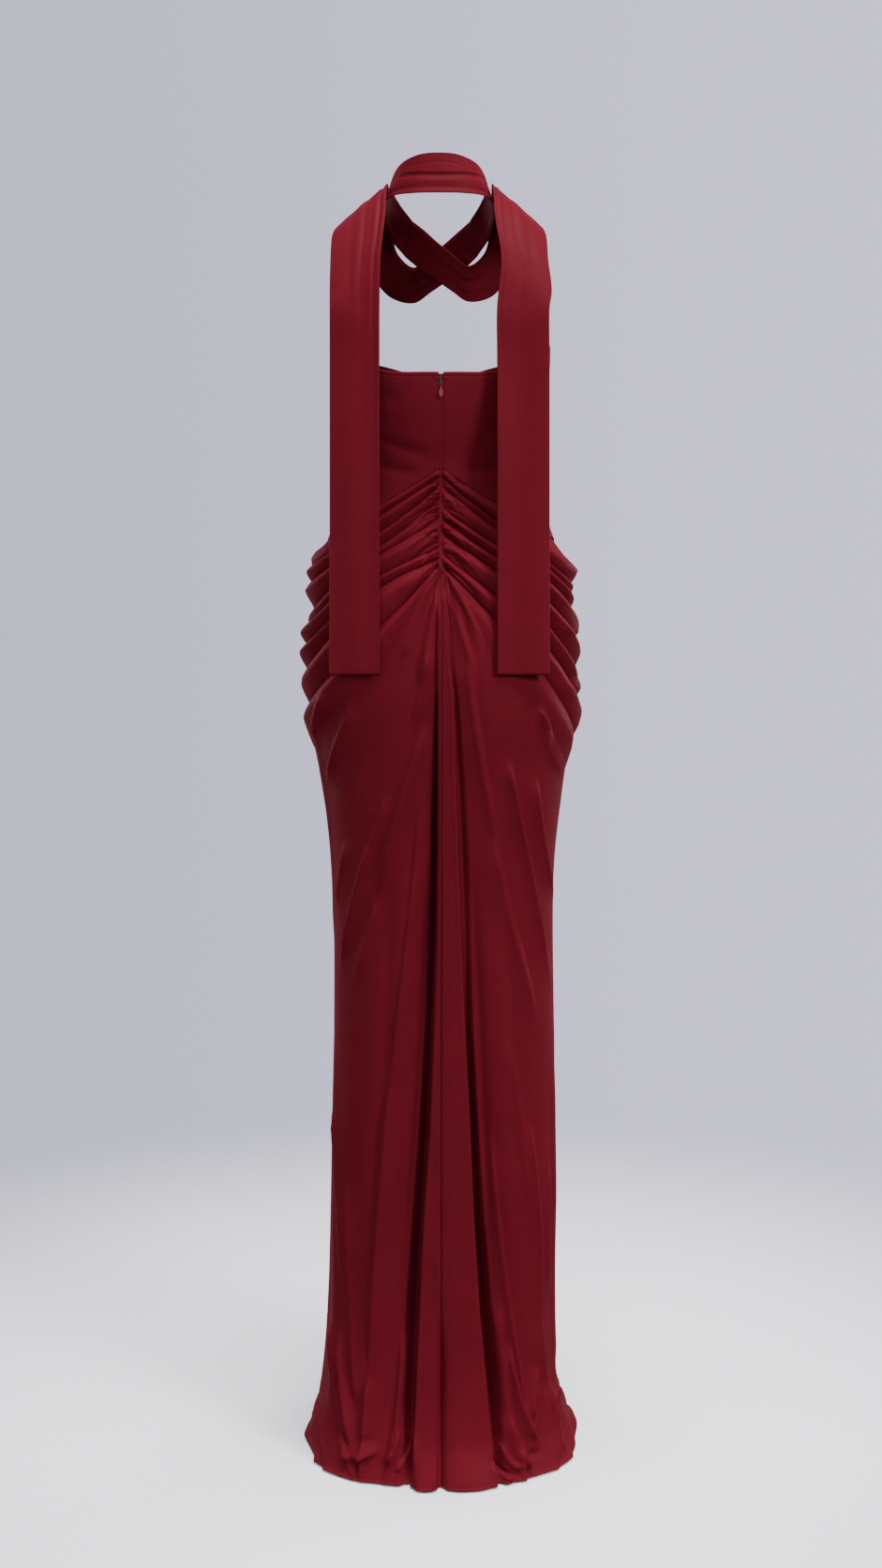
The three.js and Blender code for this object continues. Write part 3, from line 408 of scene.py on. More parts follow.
# Lines across the back of the skirt: three points across and up, the rise of a crest (a crease where it is
# negative) and its breadth.
skirtLines = {
    1: [
        ((16, 905), (48, 798), (78, 683), 1.8, 5), ((78, 683), (90, 636), (108, 582), 1, 4),
        ((25, 810), (39, 656), (66, 428), 1.1, 2.6), ((84, 759), (105, 686), (128, 583), 1.6, 2.4),
        ((116, 755), (125, 707), (131, 670), 1, 2.4), ((105, 917), (125, 876), (141, 819), 1.4, 2.8),
        ((136, 936), (150, 905), (155, 873), 1.2, 2.6), ((66, 809), (77, 774), (86, 742), 0.8, 4),
        ((135, 416), (128, 339), (121, 204), 0.9, 2.6), ((114, 344), (109, 176), (99, 65), 1.3, 2.6),
        ((61, 479), (76, 296), (88, 94), 1.3, 2.6), ((87, 111), (91, 60), (96, -12), 1.6, 2.6),
        ((133, 163), (124, 81), (100, -12), 1.8, 2.8), ((146, 62), (142, 36), (136, -14), 1.5, 2.6),
        ((152, 44), (153, 26), (150, -14), 1.2, 2.2), ((46, 167), (52, 80), (70, -10), 1.8, 6),
        ((122, 149), (115, 86), (103, 22), 2.4, 2.6),
        ((105, 24), (92, 25), (74, 34), 1.8, 2.2), ((98, 40), (90, 42), (80, 38), -2.4, 4),
        ((120, 42), (114, 27), (103, 20), 1.6, 2.2), ((50, 56), (56, 36), (68, 24), 1.5, 2.4),
        ((36, 52), (42, 30), (56, 14), 1.4, 2.4), ((2, 200), (2, 60), (2, -160), -8, 3),
        ((38, 44), (36, 20), (33, -10), -6, 4),
        ((3, 1080), (34, 1021), (57, 973), 1.5, 3.2),
        ((2, 1063), (15, 1001), (23, 939), 1.5, 3), ((2, 1046), (3, 978), (8, 911), 1, 2.6),
        ((4, 1089), (24, 1066), (76, 1000), -2.6, 2), ((2, 1087), (13, 1060), (44, 975), -3, 2.1),
        ((1, 1084), (7, 1055), (24, 972), -2.8, 2), ((4, 1096), (20, 1082), (46, 1066), -2.4, 1.8),
        ((14, 989), (25, 933), (34, 894), 0.9, 3),
        ((16, 760), (34, 480), (62, 150), -6, 8), ((58, 760), (70, 480), (84, 220), -3, 9),
        ((5, 1181), (15, 1175), (26, 1166), -1.4, 1.6), ((5, 1166), (14, 1161), (24, 1150), -1.8, 1.7),
        ((5, 1155), (11, 1152), (17, 1148), -1.4, 1.4), ((5, 1137), (13, 1136), (23, 1133), -1.5, 1.5),
        ((5, 1132), (23, 1125), (42, 1119), -1.8, 1.8), ((4, 1125), (25, 1104), (64, 1085), -2.2, 2),
        ((5, 1105), (14, 1100), (26, 1090), -1.2, 1.5), ((4, 1118), (12, 1112), (22, 1108), -1.2, 1.4),
    ],
    -1: [
        ((80, 854), (99, 760), (140, 547), 1.8, 2.4), ((116, 919), (133, 882), (150, 828), 1.5, 2.4),
        ((114, 836), (124, 754), (140, 673), 1.4, 2.4), ((61, 764), (86, 653), (119, 525), 1.3, 4),
        ((32, 978), (42, 889), (70, 735), 1.5, 4), ((63, 405), (77, 240), (111, 31), 1.5, 2.6),
        ((103, 428), (119, 274), (118, 100), 1.2, 2.6), ((132, 354), (129, 280), (134, 185), 1.2, 2.4),
        ((123, 169), (127, 101), (150, 10), 1.2, 2.6), ((118, 97), (116, 64), (111, 36), 1, 2.4),
        ((137, 83), (141, 36), (153, 4), 1, 2.6), ((8, 1063), (24, 1012), (41, 950), 1.6, 3),
        ((13, 1071), (33, 1029), (51, 990), 1.2, 3), ((72, 207), (79, 97), (96, 9), 1.5, 5),
        ((79, 523), (98, 406), (103, 302), 0.9, 6), ((2, 200), (2, 60), (2, -160), -8, 3),
        ((60, 34), (69, 16), (88, 7), -4.5, 3), ((62, 26), (72, 11), (90, 4), 1.6, 1.8),
        ((72, 42), (82, 22), (98, 14), 1.8, 2.0), ((83, 149), (95, 86), (119, 26), 1.8, 2.4),
        ((117, 112), (113, 86), (109, 55), 1.2, 2.2), ((130, 90), (133, 50), (140, -12), 1.6, 2.2),
        ((132, 76), (143, 68), (154, 60), 1.3, 2.0), ((84, 70), (94, 30), (104, -14), 1.5, 3),
        ((152, 52), (156, 30), (158, -10), 1.2, 2.2), ((98, 34), (101, 21), (109, 13), 2.6, 1.6),
        ((104, 25), (113, 22), (122, 22), -2.6, 3.5),
        ((36, 760), (50, 500), (66, 200), -5, 7), ((72, 800), (88, 520), (98, 220), -3, 9),
        ((5, 1089), (21, 1062), (56, 1018), -2.8, 2), ((4, 1084), (14, 1053), (37, 985), -3, 2.1),
        ((3, 1081), (7, 1048), (16, 970), -2.6, 1.8),
        ((13, 1175), (20, 1162), (27, 1149), -1.8, 1.6), ((5, 1165), (34, 1139), (66, 1113), -1.8, 2),
        ((15, 1152), (34, 1125), (66, 1096), -1.6, 2), ((5, 1143), (13, 1137), (21, 1134), -1.5, 1.5),
        ((6, 1120), (14, 1112), (20, 1102), -1.6, 1.6), ((6, 1106), (33, 1084), (66, 1043), -1.4, 2),
        ((8, 1092), (33, 1063), (65, 1007), -1.8, 2.2), ((6, 1086), (14, 1052), (24, 1010), -1.4, 2.2),
        ((5, 1195), (34, 1176), (60, 1155), -1.2, 1.8),
    ],
}
gathers = {"top": 1200, "foot": 1086, "apart": 4.3, "shortest": 16, "longest": 46, "depth": 4.6,
           "breadth": 1.4, "seed": 11}
crestShare = {"sharp": 0.8, "soft": 3.5, "sharpRise": 1.9, "softRise": 2.6, "outerRise": 2.0}


def smallGathers(side):
    chance = np.random.default_rng(gathers["seed"] + side)
    lines = []
    for height in np.arange(gathers["foot"], gathers["top"], gathers["apart"]):
        reach = chance.uniform(gathers["shortest"], gathers["longest"])
        top = height + chance.uniform(-1.2, 1.2)
        slant = 0.5 + 0.45 * ease(gathers["top"], gathers["foot"], height)
        middle = (3 + 0.5 * reach, top - 0.3 * slant * reach)
        lines.append(((3, top), middle, (3 + reach, top - slant * reach),
                      -gathers["depth"] * chance.uniform(0.5, 1.2), gathers["breadth"]))
    return lines


# A crest falls steeply on the side away from the centre back, and softly towards it.
def lineRelief(lines, across, height):
    relief = np.zeros_like(across)
    steps = np.linspace(0, 1, 13)
    for start, middle, end, rise, breadth in lines:
        control = np.array(middle) * 2 - (np.array(start, float) + np.array(end)) / 2
        path = (np.outer((1 - steps) ** 2, start) + np.outer(2 * steps * (1 - steps), control)
                + np.outer(steps ** 2, end))
        reach = 14 * breadth if rise > 0 else 5 * breadth
        low, high = path.min(0) - reach, path.max(0) + reach
        near = (across > low[0]) & (across < high[0]) & (height > low[1]) & (height < high[1])
        x, h = across[near], height[near]
        nearest, place, outer = np.full_like(x, 1e9), np.zeros_like(x), np.zeros_like(x)
        for k in range(len(path) - 1):
            line = path[k + 1] - path[k]
            t = np.clip(((x - path[k, 0]) * line[0] + (h - path[k, 1]) * line[1]) / (line @ line), 0, 1)
            distance = np.hypot(x - path[k, 0] - t * line[0], h - path[k, 1] - t * line[1])
            closer = distance < nearest
            nearest = np.where(closer, distance, nearest)
            place = np.where(closer, (k + t) / (len(path) - 1), place)
            turned = (x - path[k, 0]) * line[1] - (h - path[k, 1]) * line[0]
            outer = np.where(closer, ease(1.2, -1.2, turned / np.hypot(*line)), outer)
        if rise > 0:
            fade = ease(0, 0.2, place) * (1 - ease(0.75, 1, place))
            sharp = np.exp(-(nearest / (crestShare["sharp"] * breadth)) ** 2)
            soft = crestShare["softRise"] * np.exp(-(nearest / (crestShare["soft"] * breadth)) ** 2)
            shape = (crestShare["sharpRise"] + crestShare["outerRise"] * outer) * sharp + soft * (1 - outer)
        elif breadth < 3:
            fade = ease(-0.02, 0.06, place) * (1 - ease(0.5, 1, place))
            shape = np.exp(-nearest / (breadth * (1 + 0.4 * place)))
        else:
            fade = ease(0, 0.3, place) * (1 - ease(0.7, 1, place))
            shape = np.exp(-(nearest / breadth) ** 2)
        relief[near] += rise * fade * shape
    return relief


# The cloth breaks on the floor in shallow lobes, broadest under the two pleats.
hemLobes = {"count": 9, "reach": 2.5, "pleatReach": 7}


def hemRelief(side, angle, distance, height):
    nearFloor = 1 - ease(3, 42, height)
    lobes = hemLobes["reach"] * np.sin(hemLobes["count"] * angle + side)
    edge = pleatEdges(side, height)[0]
    place = distance / edge
    rounded = (1 - ease(0.62, 1.06, place)) * (0.35 + 0.65 * ease(0, 0.4, place))
    underPleat = np.where(angle < quarterTurn, rounded, 0)
    return nearFloor * (lobes * ease(0.2, 0.5, angle) + hemLobes["pleatReach"] * underPleat)


allLines = {side: skirtLines[side] + smallGathers(side) for side in (1, -1)}


def skirtPoint(side, angle, height):
    distance = halfWidthAt(height) * np.sin(angle)
    behind = (angle < quarterTurn) * 1.0
    relief = foldRelief(side, angle, height) + softRelief(side, angle, height)
    relief += hemRelief(side, angle, distance, height)
    relief += behind * pleatRelief(side, distance, height) + sideRelief(side, angle, height)
    across = distance * fullnessAt(angle)
    relief += behind * lineRelief(allLines[side], across, height)
    # The gathers sink into a groove beside the zip's strip.
    gathered = ease(1075, 1100, height) * behind
    relief *= 1 - gathered * (1 - ease(2.2, 4.0, distance))
    relief -= gathered * 1.3 * (1 - ease(2.4, 4.4, distance))
    relief -= 0.8 * (1 - ease(0.1, 1.2, distance)) * behind
    return bodyPoint(side, angle, height, relief)


rowPlan = {"folds": (14, 12, 18, 25, 30, 18, 14, 14), "hanging": 126, "belowValley": 20, "levelFoot": 500,
           "levelTop": 900}
hangingRows = [
    842, 818, 793, 766, 735, 700, 660, 610, 550, 480, 400, 320, 240, 170, 115, 76, 48, 28, 14, 6, 2.4,
]
rowCount = sum(rowPlan["folds"]) + 1 + rowPlan["hanging"]


# The heights of all rows, given the angle of each point of the grid.
def rowHeights(side, angle):
    height = np.empty_like(angle)
    last = 0
    for number, rows in enumerate(rowPlan["folds"]):
        even = np.linspace(0, 1, rows + 1)[:-1]
        steps = (0.25 * (1 - np.cos(even * math.pi)) + 0.5 * even)[:, None]
        block = slice(last, last + rows)
        above = valleyHeight(side, number, angle[block])
        height[block] = above + (valleyHeight(side, number + 1, angle[block]) - above) * steps
        last += rows
    lowest = valleyHeight(side, len(folds[side]) - 1, angle[last:])
    height[last] = lowest[0]
    level = hangingRows[0]
    row = np.interp(np.linspace(0, len(hangingRows) - 1, rowPlan["hanging"]), range(len(hangingRows)),
                    hangingRows)[:, None]
    tilt = ease(rowPlan["levelFoot"], rowPlan["levelTop"], row)
    tilt /= ease(rowPlan["levelFoot"], rowPlan["levelTop"], level)
    height[last + 1:] = row + (lowest[1:] - rowPlan["belowValley"] - level) * tilt ** 1.2
    return height


# How far the centre-back edges stand from the middle: a notch above the slider, then the zip's strip.
backEdges = np.array([
    (1330, 3.8), (1321, 3.0), (1317.5, 2.35), (1302, 2.35), (1094, 2.3), (1078, 0.6), (1066, 0.15), (0, 0.15),
])
backColumns = {"pleat": 46, "rest": 100, "crowding": 1.3}
backColumnCount = backColumns["pleat"] + backColumns["rest"]


def evenAngles(height):
    first = angleAt(linesThrough(backEdges, 1, height), height)
    last = quarterTurn - seamHalf / halfWidthAt(height)
    return first + (last - first) * np.linspace(0, 1, backColumnCount)[None, :] ** backColumns["crowding"]


# Columns lie close together over the pleat, and apart beyond it. Towards the waist they even out.
def backColumnAngles(side, height, nearWaist):
    edge, bank, _ = pleatEdges(side, height)
    seam = linesThrough(backEdges, 1, height)
    width = bank - edge
    marks = np.maximum.accumulate(np.stack([
        seam, seam + 0.35 * (edge - seam), edge - 1.3, edge + 1.3, edge + 0.5 * width, bank - 0.1 * width,
        bank + 4]), axis=0)
    share = np.array([0, 0.16, 0.36, 0.56, 0.7, 0.86, 1])
    at = np.linspace(0, 1, backColumns["pleat"])
    k = np.clip(np.searchsorted(share, at, side="right") - 1, 0, len(share) - 2)
    weight = (at - share[k]) / (share[k + 1] - share[k])
    distance = np.stack([marks[k[j], :, j] * (1 - weight[j]) + marks[k[j] + 1, :, j] * weight[j]
                         for j in range(len(at))], axis=1)
    angles = angleAt(distance, height[:, :len(at)])
    rest = np.linspace(0, 1, backColumns["rest"] + 1)[None, 1:] ** 0.95
    beyond = height[:, len(at):]
    start = angleAt(marks[-1][:, len(at):], beyond)
    last = quarterTurn - seamHalf / halfWidthAt(beyond)
    angles = np.concatenate([angles, start + (last - start) * rest], axis=1)
    return angles * (1 - nearWaist) + evenAngles(height) * nearWaist


def backSkirtGrid(side):
    height = np.repeat(rowHeights(side, np.zeros((rowCount, 1))), backColumnCount, axis=1)
    nearWaist = ease(1085, 1195, height[:, :1])
    for _ in range(8):  # the rows' heights and the columns' angles depend on each other
        angle = backColumnAngles(side, height, nearWaist)
        height = rowHeights(side, angle)
    grid = skirtPoint(side, angle, height)
    return grid if side > 0 else grid[:, ::-1]


frontColumnCount = 76  # on each side of the centre front


def frontAngles(rows):
    first = quarterTurn + seamHalf / 130
    return np.repeat(np.linspace(first, math.pi, frontColumnCount)[None, :], rows, axis=0)


def joinedFront(pointsOn):
    return np.concatenate([pointsOn(1)[:, :-1], pointsOn(-1)[:, ::-1]], axis=1)


def frontSkirtGrid():
    angle = frontAngles(rowCount)
    return joinedFront(lambda side: skirtPoint(side, angle, rowHeights(side, angle)))


# The bodice: its top edge by angle, soft cups before, and drag lines towards the gathers behind.
bodice = {"rows": 84, "cupAngle": 2.56, "cupHeight": 1302, "cupBreadth": 50, "cupRise": 15,
          "edgePress": 0.45, "edgePressDown": 4.6, "edgeRound": 0.8, "markPress": 0.7,
          "markBreadth": 0.7, "thickness": 1.2}
topEdge = np.array([
    (0, 1320), (0.5, 1324), (1.0, 1350), (quarterTurn, 1377), (2.2, 1376), (2.65, 1371), (math.pi, 1352),
])
bodiceLines = {
    1: [((82, 1248), (46, 1232), (8, 1221), -1.7, 7), ((82, 1218), (58, 1207), (22, 1203), -1.8, 7),
        ((80, 1300), (60, 1290), (40, 1288), -0.8, 9)],
    -1: [((76, 1212), (50, 1206), (24, 1205), -1.1, 8), ((80, 1262), (62, 1250), (46, 1244), -0.8, 9)],
}


marks = {1: (3.4, 1320.5, 8.8, 11.5), -1: (3.2, 1320.0, 9.0, 11.0)}  # middle across and up, reach and drop


def bodicePoint(side, angle, height):
    halfWidth = halfWidthAt(height)
    across = (angle - bodice["cupAngle"]) * halfWidth / bodice["cupBreadth"]
    up = (height - bodice["cupHeight"]) / bodice["cupBreadth"]
    relief = bodice["cupRise"] * np.exp(-across ** 2 - up ** 2)
    distance = halfWidth * np.sin(angle)
    behind = (angle < quarterTurn) * 1.0
    relief += behind * lineRelief(bodiceLines[side], distance * fullnessAt(angle), height)
    relief -= behind * 0.8 * (1 - ease(2.3, 4.2, distance)) * (1 - ease(1296, 1304, height))
    middle, top, reach, fall = marks[side]
    fromMark = (np.hypot((distance - middle) / reach, (height - top) / fall) - 1) * reach
    pressed = bodice["markPress"] * np.exp(-(fromMark / bodice["markBreadth"]) ** 2)
    relief -= behind * pressed * (distance > middle - 1)
    drop = curveThrough(topEdge, 1, angle) - height
    relief -= bodice["edgeRound"] * (1 - ease(0, 1.6, drop))
    relief -= bodice["edgePress"] * np.exp(-((drop - bodice["edgePressDown"]) / 0.8) ** 2)
    return bodyPoint(side, angle, height, relief)


def bodiceHeights(side, angle):
    down = np.linspace(0, 1, bodice["rows"])[:, None] ** 1.35
    top = curveThrough(topEdge, 1, angle)
    return top + (valleyHeight(side, 0, angle) + 2 * seamHalf - top) * down


def backBodiceGrid(side):
    height = np.full((bodice["rows"], backColumnCount), 1320.0)
    for _ in range(8):
        angle = evenAngles(height)
        height = bodiceHeights(side, angle)
    grid = bodicePoint(side, angle, height)
    return grid if side > 0 else grid[:, ::-1]


def frontBodiceGrid():
    angle = frontAngles(bodice["rows"])
    return joinedFront(lambda side: bodicePoint(side, angle, bodiceHeights(side, angle)))


seamEdges = {"waist": (0.12, 0.45, 0.12, 0.12), "top": (0.45, 0.12, 0.12, 0.12)}
skirtGrids = [backSkirtGrid(1), backSkirtGrid(-1), frontSkirtGrid()]
skirtBackLeft = clothShell("skirtBackLeft", skirtGrids[0], jersey, bulge=seamEdges["waist"])
skirtBackRight = clothShell("skirtBackRight", skirtGrids[1], jersey, bulge=seamEdges["waist"])
skirtFront = clothShell("skirtFront", skirtGrids[2], jersey, bulge=seamEdges["waist"])
print("skirt made")
bodiceWall = {"thickness": bodice["thickness"], "bulge": seamEdges["top"]}
bodiceBackLeft = clothShell("bodiceBackLeft", backBodiceGrid(1), jersey, **bodiceWall)
bodiceBackRight = clothShell("bodiceBackRight", backBodiceGrid(-1), jersey, **bodiceWall)
bodiceFront = clothShell("bodiceFront", frontBodiceGrid(), jersey, **bodiceWall)
print("bodice made")


# A smooth path through points, spaced by the square root of their distances.
def smoothPath(points, steps):
    points = np.array(points, float)
    points = np.concatenate([[2 * points[0] - points[1]], points, [2 * points[-1] - points[-2]]])
    place = np.linspace(0, len(points) - 3, steps)
    i = np.minimum(place.astype(int), len(points) - 4)
    p = [points[i + k] for k in range(4)]
    knots = [np.zeros(steps)]
    for k in range(3):
        knots.append(knots[-1] + np.sqrt(np.linalg.norm(p[k + 1] - p[k], axis=1)))
    t = knots[1] + (place - i) * (knots[2] - knots[1])

    def blend(a, b, low, high):
        return ((high - t) / (high - low))[:, None] * a + ((t - low) / (high - low))[:, None] * b

    first = [blend(p[k], p[k + 1], knots[k], knots[k + 1]) for k in range(3)]
    second = [blend(first[k], first[k + 1], knots[k], knots[k + 2]) for k in range(2)]
    return blend(second[0], second[1], knots[1], knots[2])


def ribbonGrid(near, far, steps, columns, relief):
    nearPath, farPath = smoothPath(near, steps), smoothPath(far, steps)
    ahead = np.gradient(nearPath, axis=0)
    normal = np.cross(ahead, farPath - nearPath)
    normal /= np.linalg.norm(normal, axis=1, keepdims=True)
    across = np.linspace(0, 1, columns)[None, :, None]
    grid = nearPath[:, None, :] * (1 - across) + farPath[:, None, :] * across
    along = np.linspace(0, 1, steps)[:, None]
    return grid + normal[:, None, :] * relief(along, across[..., 0])[..., None]


# The scarf's stretches, each as a ribbon between two edges: near is the edge on the neck's side.
neckBand = {
    "near": [(38, -42, 1551), (55, -24, 1568), (62, 0, 1583), (49, 38, 1595), (27, 56, 1600), (2, 60, 1601),
             (-21, 56, 1600), (-44, 38, 1595), (-57, 0, 1583), (-52, -24, 1568), (-38, -42, 1551)],
    "far": [(47, -56, 1509), (67, -34, 1528), (74, 2, 1552), (61, 42, 1554), (33, 63, 1551), (2, 68, 1550),
            (-28, 63, 1551), (-55, 42, 1554), (-68, 2, 1552), (-63, -34, 1528), (-47, -56, 1509)],
    "steps": 220, "columns": 96, "thickness": 1.6, "ridge": 0.52, "ridgeDroop": 0.78,
}
overShoulder = {
    "near": [(-37.6, -42.5, 1550.4), (-22, -58, 1541), (-4, -66, 1527), (16, -70, 1512), (36, -69, 1497),
             (57, -62, 1513), (68, -32, 1559), (72, 0, 1581), (73, 38, 1562), (73.5, 78, 1512),
             (74, 103, 1455)],
    "far": [(-46.5, -56.7, 1508.5), (-30, -72, 1497), (-8, -81, 1484), (14, -86, 1470), (36, -90, 1457),
            (68, -86, 1464), (100, -60, 1500), (127, -10, 1530), (134, 46, 1507), (134, 84, 1462),
            (133.5, 102, 1420)],
}
tail = {
    "foot": 957, "top": 1395, "rows": 9, "behindTop": 112, "settleTop": 1440, "settleFoot": 1120,
    "widths": {1: (74, 133), -1: (67.5, 129.5)}, "insetTop": 2, "insetFoot": 9,
    "throatLift": 8, "steps": 420, "columns": 46, "thickness": 1.7,
    "shoulderDrop": {1: 3, -1: 2.5}, "narrowNear": {1: 0.92, -1: 0.88}, "narrowFar": {1: 1.0, -1: 0.965},
    "arch": 1.5,
}
tailBehind = {1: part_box("scarf_left")[1].y * 1000, -1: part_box("scarf_right")[1].y * 1000}


# A crisp fold runs along the band's middle and meets its upper edge at the sides of the neck.
def bandRelief(along, across):
    ends = np.sin(np.clip(along, 0.001, 0.999) * math.pi) ** 0.5
    fold = neckBand["ridge"] * np.cos((along - 0.5) * math.pi / neckBand["ridgeDroop"])
    lap = ease(fold - 0.05, fold + 0.02, across) * (1 - 0.8 * ease(fold, fold + 0.2, across))
    upper = 0.25 * np.sin((across / np.maximum(fold, 0.12)) * math.pi) * (across < fold)
    lower = 1.2 * np.exp(-((across - 0.86) / 0.09) ** 2)
    strand = 0.2 * np.exp(-((across - 0.22 - 0.5 * np.abs(along - 0.5)) / 0.03) ** 2)
    return ends * (1.9 * lap + upper + lower + strand)


tailGrooves = {  # place across the scarf at the shoulder and further down, depth and breadth
    1: [(0.09, 0.14, 1.2, 0.028), (0.36, 0.40, 0.8, 0.05), (0.62, 0.6, 0.4, 0.08)],
    -1: [(0.05, 0.06, 1.1, 0.025), (0.33, 0.44, 0.7, 0.055), (0.66, 0.62, 0.4, 0.08)],
}


def tailRelief(side):
    def relief(along, across):
        folded = ease(0.04, 0.2, along) * (1 - ease(0.52, 0.68, along))
        lower = ease(0.36, 0.56, along)
        total = 0
        for top, foot, depth, breadth in tailGrooves[side]:
            place = top + (foot - top) * lower
            total = total - depth * np.exp(-((across - place) / breadth) ** 2)
            total = total + 0.8 * depth * np.exp(-((across - place - 2 * breadth) / (2 * breadth)) ** 2)
        roll = 1.3 * np.exp(-(across / 0.07) ** 2) * (1 - ease(0.6, 0.85, along))
        drift = 0.9 * np.sin(across * 8 + along * 3 + side) * ease(0.45, 0.7, along)
        arched = ease(0.27, 0.36, along) * (1 - ease(0.45, 0.58, along))
        arch = tail["arch"] * np.sin(math.pi * across) * arched
        return -side * (total * folded + roll + drift + arch)
    return relief


def scarfEnd(side):
    hang = tailBehind[side]
    near, far = [], []
    for i, (a, b) in enumerate(zip(overShoulder["near"], overShoulder["far"])):
        lift = tail["throatLift"] * ease(0, 1.2, i) * (1 - ease(4, 6, i)) if side < 0 else 0
        onShoulder = ease(5, 7, i) * (1 - ease(8.5, 10.5, i))
        drop = tail["shoulderDrop"][side] * onShoulder
        narrowNear = 1 + (tail["narrowNear"][side] - 1) * onShoulder
        narrowFar = 1 + (tail["narrowFar"][side] - 1) * onShoulder
        near.append((side * a[0] * narrowNear, a[1] + lift, a[2] - 0.3 * drop))
        far.append((side * b[0] * narrowFar, b[1] + lift, b[2] - drop))
    for i in range(tail["rows"]):
        height = tail["top"] + (tail["foot"] - tail["top"]) * i / (tail["rows"] - 1)
        settled = ease(tail["settleTop"], tail["settleFoot"], height)
        behind = tail["behindTop"] + (hang - tail["behindTop"]) * settled
        inset = tail["insetTop"] + (tail["insetFoot"] - tail["insetTop"]) * settled
        near.append((side * tail["widths"][side][0], behind, height))
        far.append((side * tail["widths"][side][1], behind - inset, height))
    grid = ribbonGrid(near, far, tail["steps"], tail["columns"], tailRelief(side))
    return grid if side > 0 else grid[:, ::-1]


allRound = (0.45, 0.45, 0.45, 0.45)
band = ribbonGrid(neckBand["near"], neckBand["far"], neckBand["steps"], neckBand["columns"], bandRelief)
bandGrid = np.swapaxes(band, 0, 1)[:, ::-1]
scarfNeck = clothShell("scarfNeck", bandGrid, jersey, neckBand["thickness"], allRound)
endGrids = {side: scarfEnd(side) for side in (1, -1)}
scarfLeft = clothShell("scarfLeft", endGrids[1], jersey, tail["thickness"], allRound)
scarfRight = clothShell("scarfRight", endGrids[-1], jersey, tail["thickness"], allRound)
print("scarf made")


def bakedMesh(piece):
    evaluated = piece.evaluated_get(bpy.context.evaluated_depsgraph_get())
    return bpy.data.meshes.new_from_object(evaluated)


# Rounded beads of one size along a path: stitches of a seam, or the teeth of a zip.
def makeBeadRow():
    group, given, result = newGroup("beadRow", "GeometryNodeTree", [
        ("Geometry", "NodeSocketGeometry", None),
        ("Pitch", "NodeSocketFloat", 0.003),
        ("Size", "NodeSocketVector", (0.001, 0.0002, 0.0002)),
        ("Unevenness", "NodeSocketFloat", 0.1),
        ("Seed", "NodeSocketInt", 1),
        ("Material", "NodeSocketMaterial", None),
    ], [("Geometry", "NodeSocketGeometry")])
    path = addNode(group, "GeometryNodeMeshToCurve", {0: given.outputs["Geometry"]})
    spaced = addNode(group, "GeometryNodeResampleCurve", {
        "Curve": path.outputs[0], "Length": given.outputs["Pitch"]}, mode="LENGTH")
    tangent = addNode(group, "GeometryNodeInputTangent")
    along = addNode(group, "FunctionNodeAlignRotationToVector", {"Vector": tangent.outputs[0]}, axis="X")
    low = addNode(group, "ShaderNodeMath", {0: 1.0, 1: given.outputs["Unevenness"]}, operation="SUBTRACT")
    high = addNode(group, "ShaderNodeMath", {0: 1.0, 1: given.outputs["Unevenness"]}, operation="ADD")
    chance = addNode(group, "FunctionNodeRandomValue", {
        2: low.outputs[0], 3: high.outputs[0], "Seed": given.outputs["Seed"]})
    bead = addNode(group, "GeometryNodeMeshUVSphere", {"Segments": 10, "Rings": 6, "Radius": 1.0})
    sized = addNode(group, "GeometryNodeTransform", {0: bead.outputs[0], "Scale": given.outputs["Size"]})
    placed = addNode(group, "GeometryNodeInstanceOnPoints", {
        "Points": spaced.outputs[0], "Instance": sized.outputs[0], "Rotation": along.outputs[0],
        "Scale": chance.outputs[1]})
    real = addNode(group, "GeometryNodeRealizeInstances", {0: placed.outputs[0]})
    smooth = addNode(group, "GeometryNodeSetShadeSmooth", {0: real.outputs[0]})
    dressed = addNode(group, "GeometryNodeSetMaterial", {
        0: smooth.outputs[0], "Material": given.outputs["Material"]})
    group.links.new(dressed.outputs[0], result.inputs["Geometry"])
    return group


beadRow = makeBeadRow()


def beadsAlong(name, paths, look, material):
    mesh = bpy.data.meshes.new(name)
    points, edges = [], []
    for path in paths:
        edges += [(len(points) + i, len(points) + i + 1) for i in range(len(path) - 1)]
        points += [(x * 0.001, y * 0.001, (z - gripHeight) * 0.001) for x, y, z in path]
    mesh.from_pydata(points, edges, [])
    piece = bpy.data.objects.new(name, mesh)
    bpy.context.scene.collection.objects.link(piece)
    row = piece.modifiers.new("beads", "NODES")
    row.node_group = beadRow
    sockets = {item.name: item.identifier for item in beadRow.interface.items_tree if item.in_out == "INPUT"}
    for label in ("Pitch", "Size", "Unevenness", "Seed"):
        row[sockets[label]] = look[label.lower()]
    row[sockets["Material"]] = material
    baked = bakedMesh(piece)
    piece.modifiers.remove(row)
    piece.data = baked
    return piece


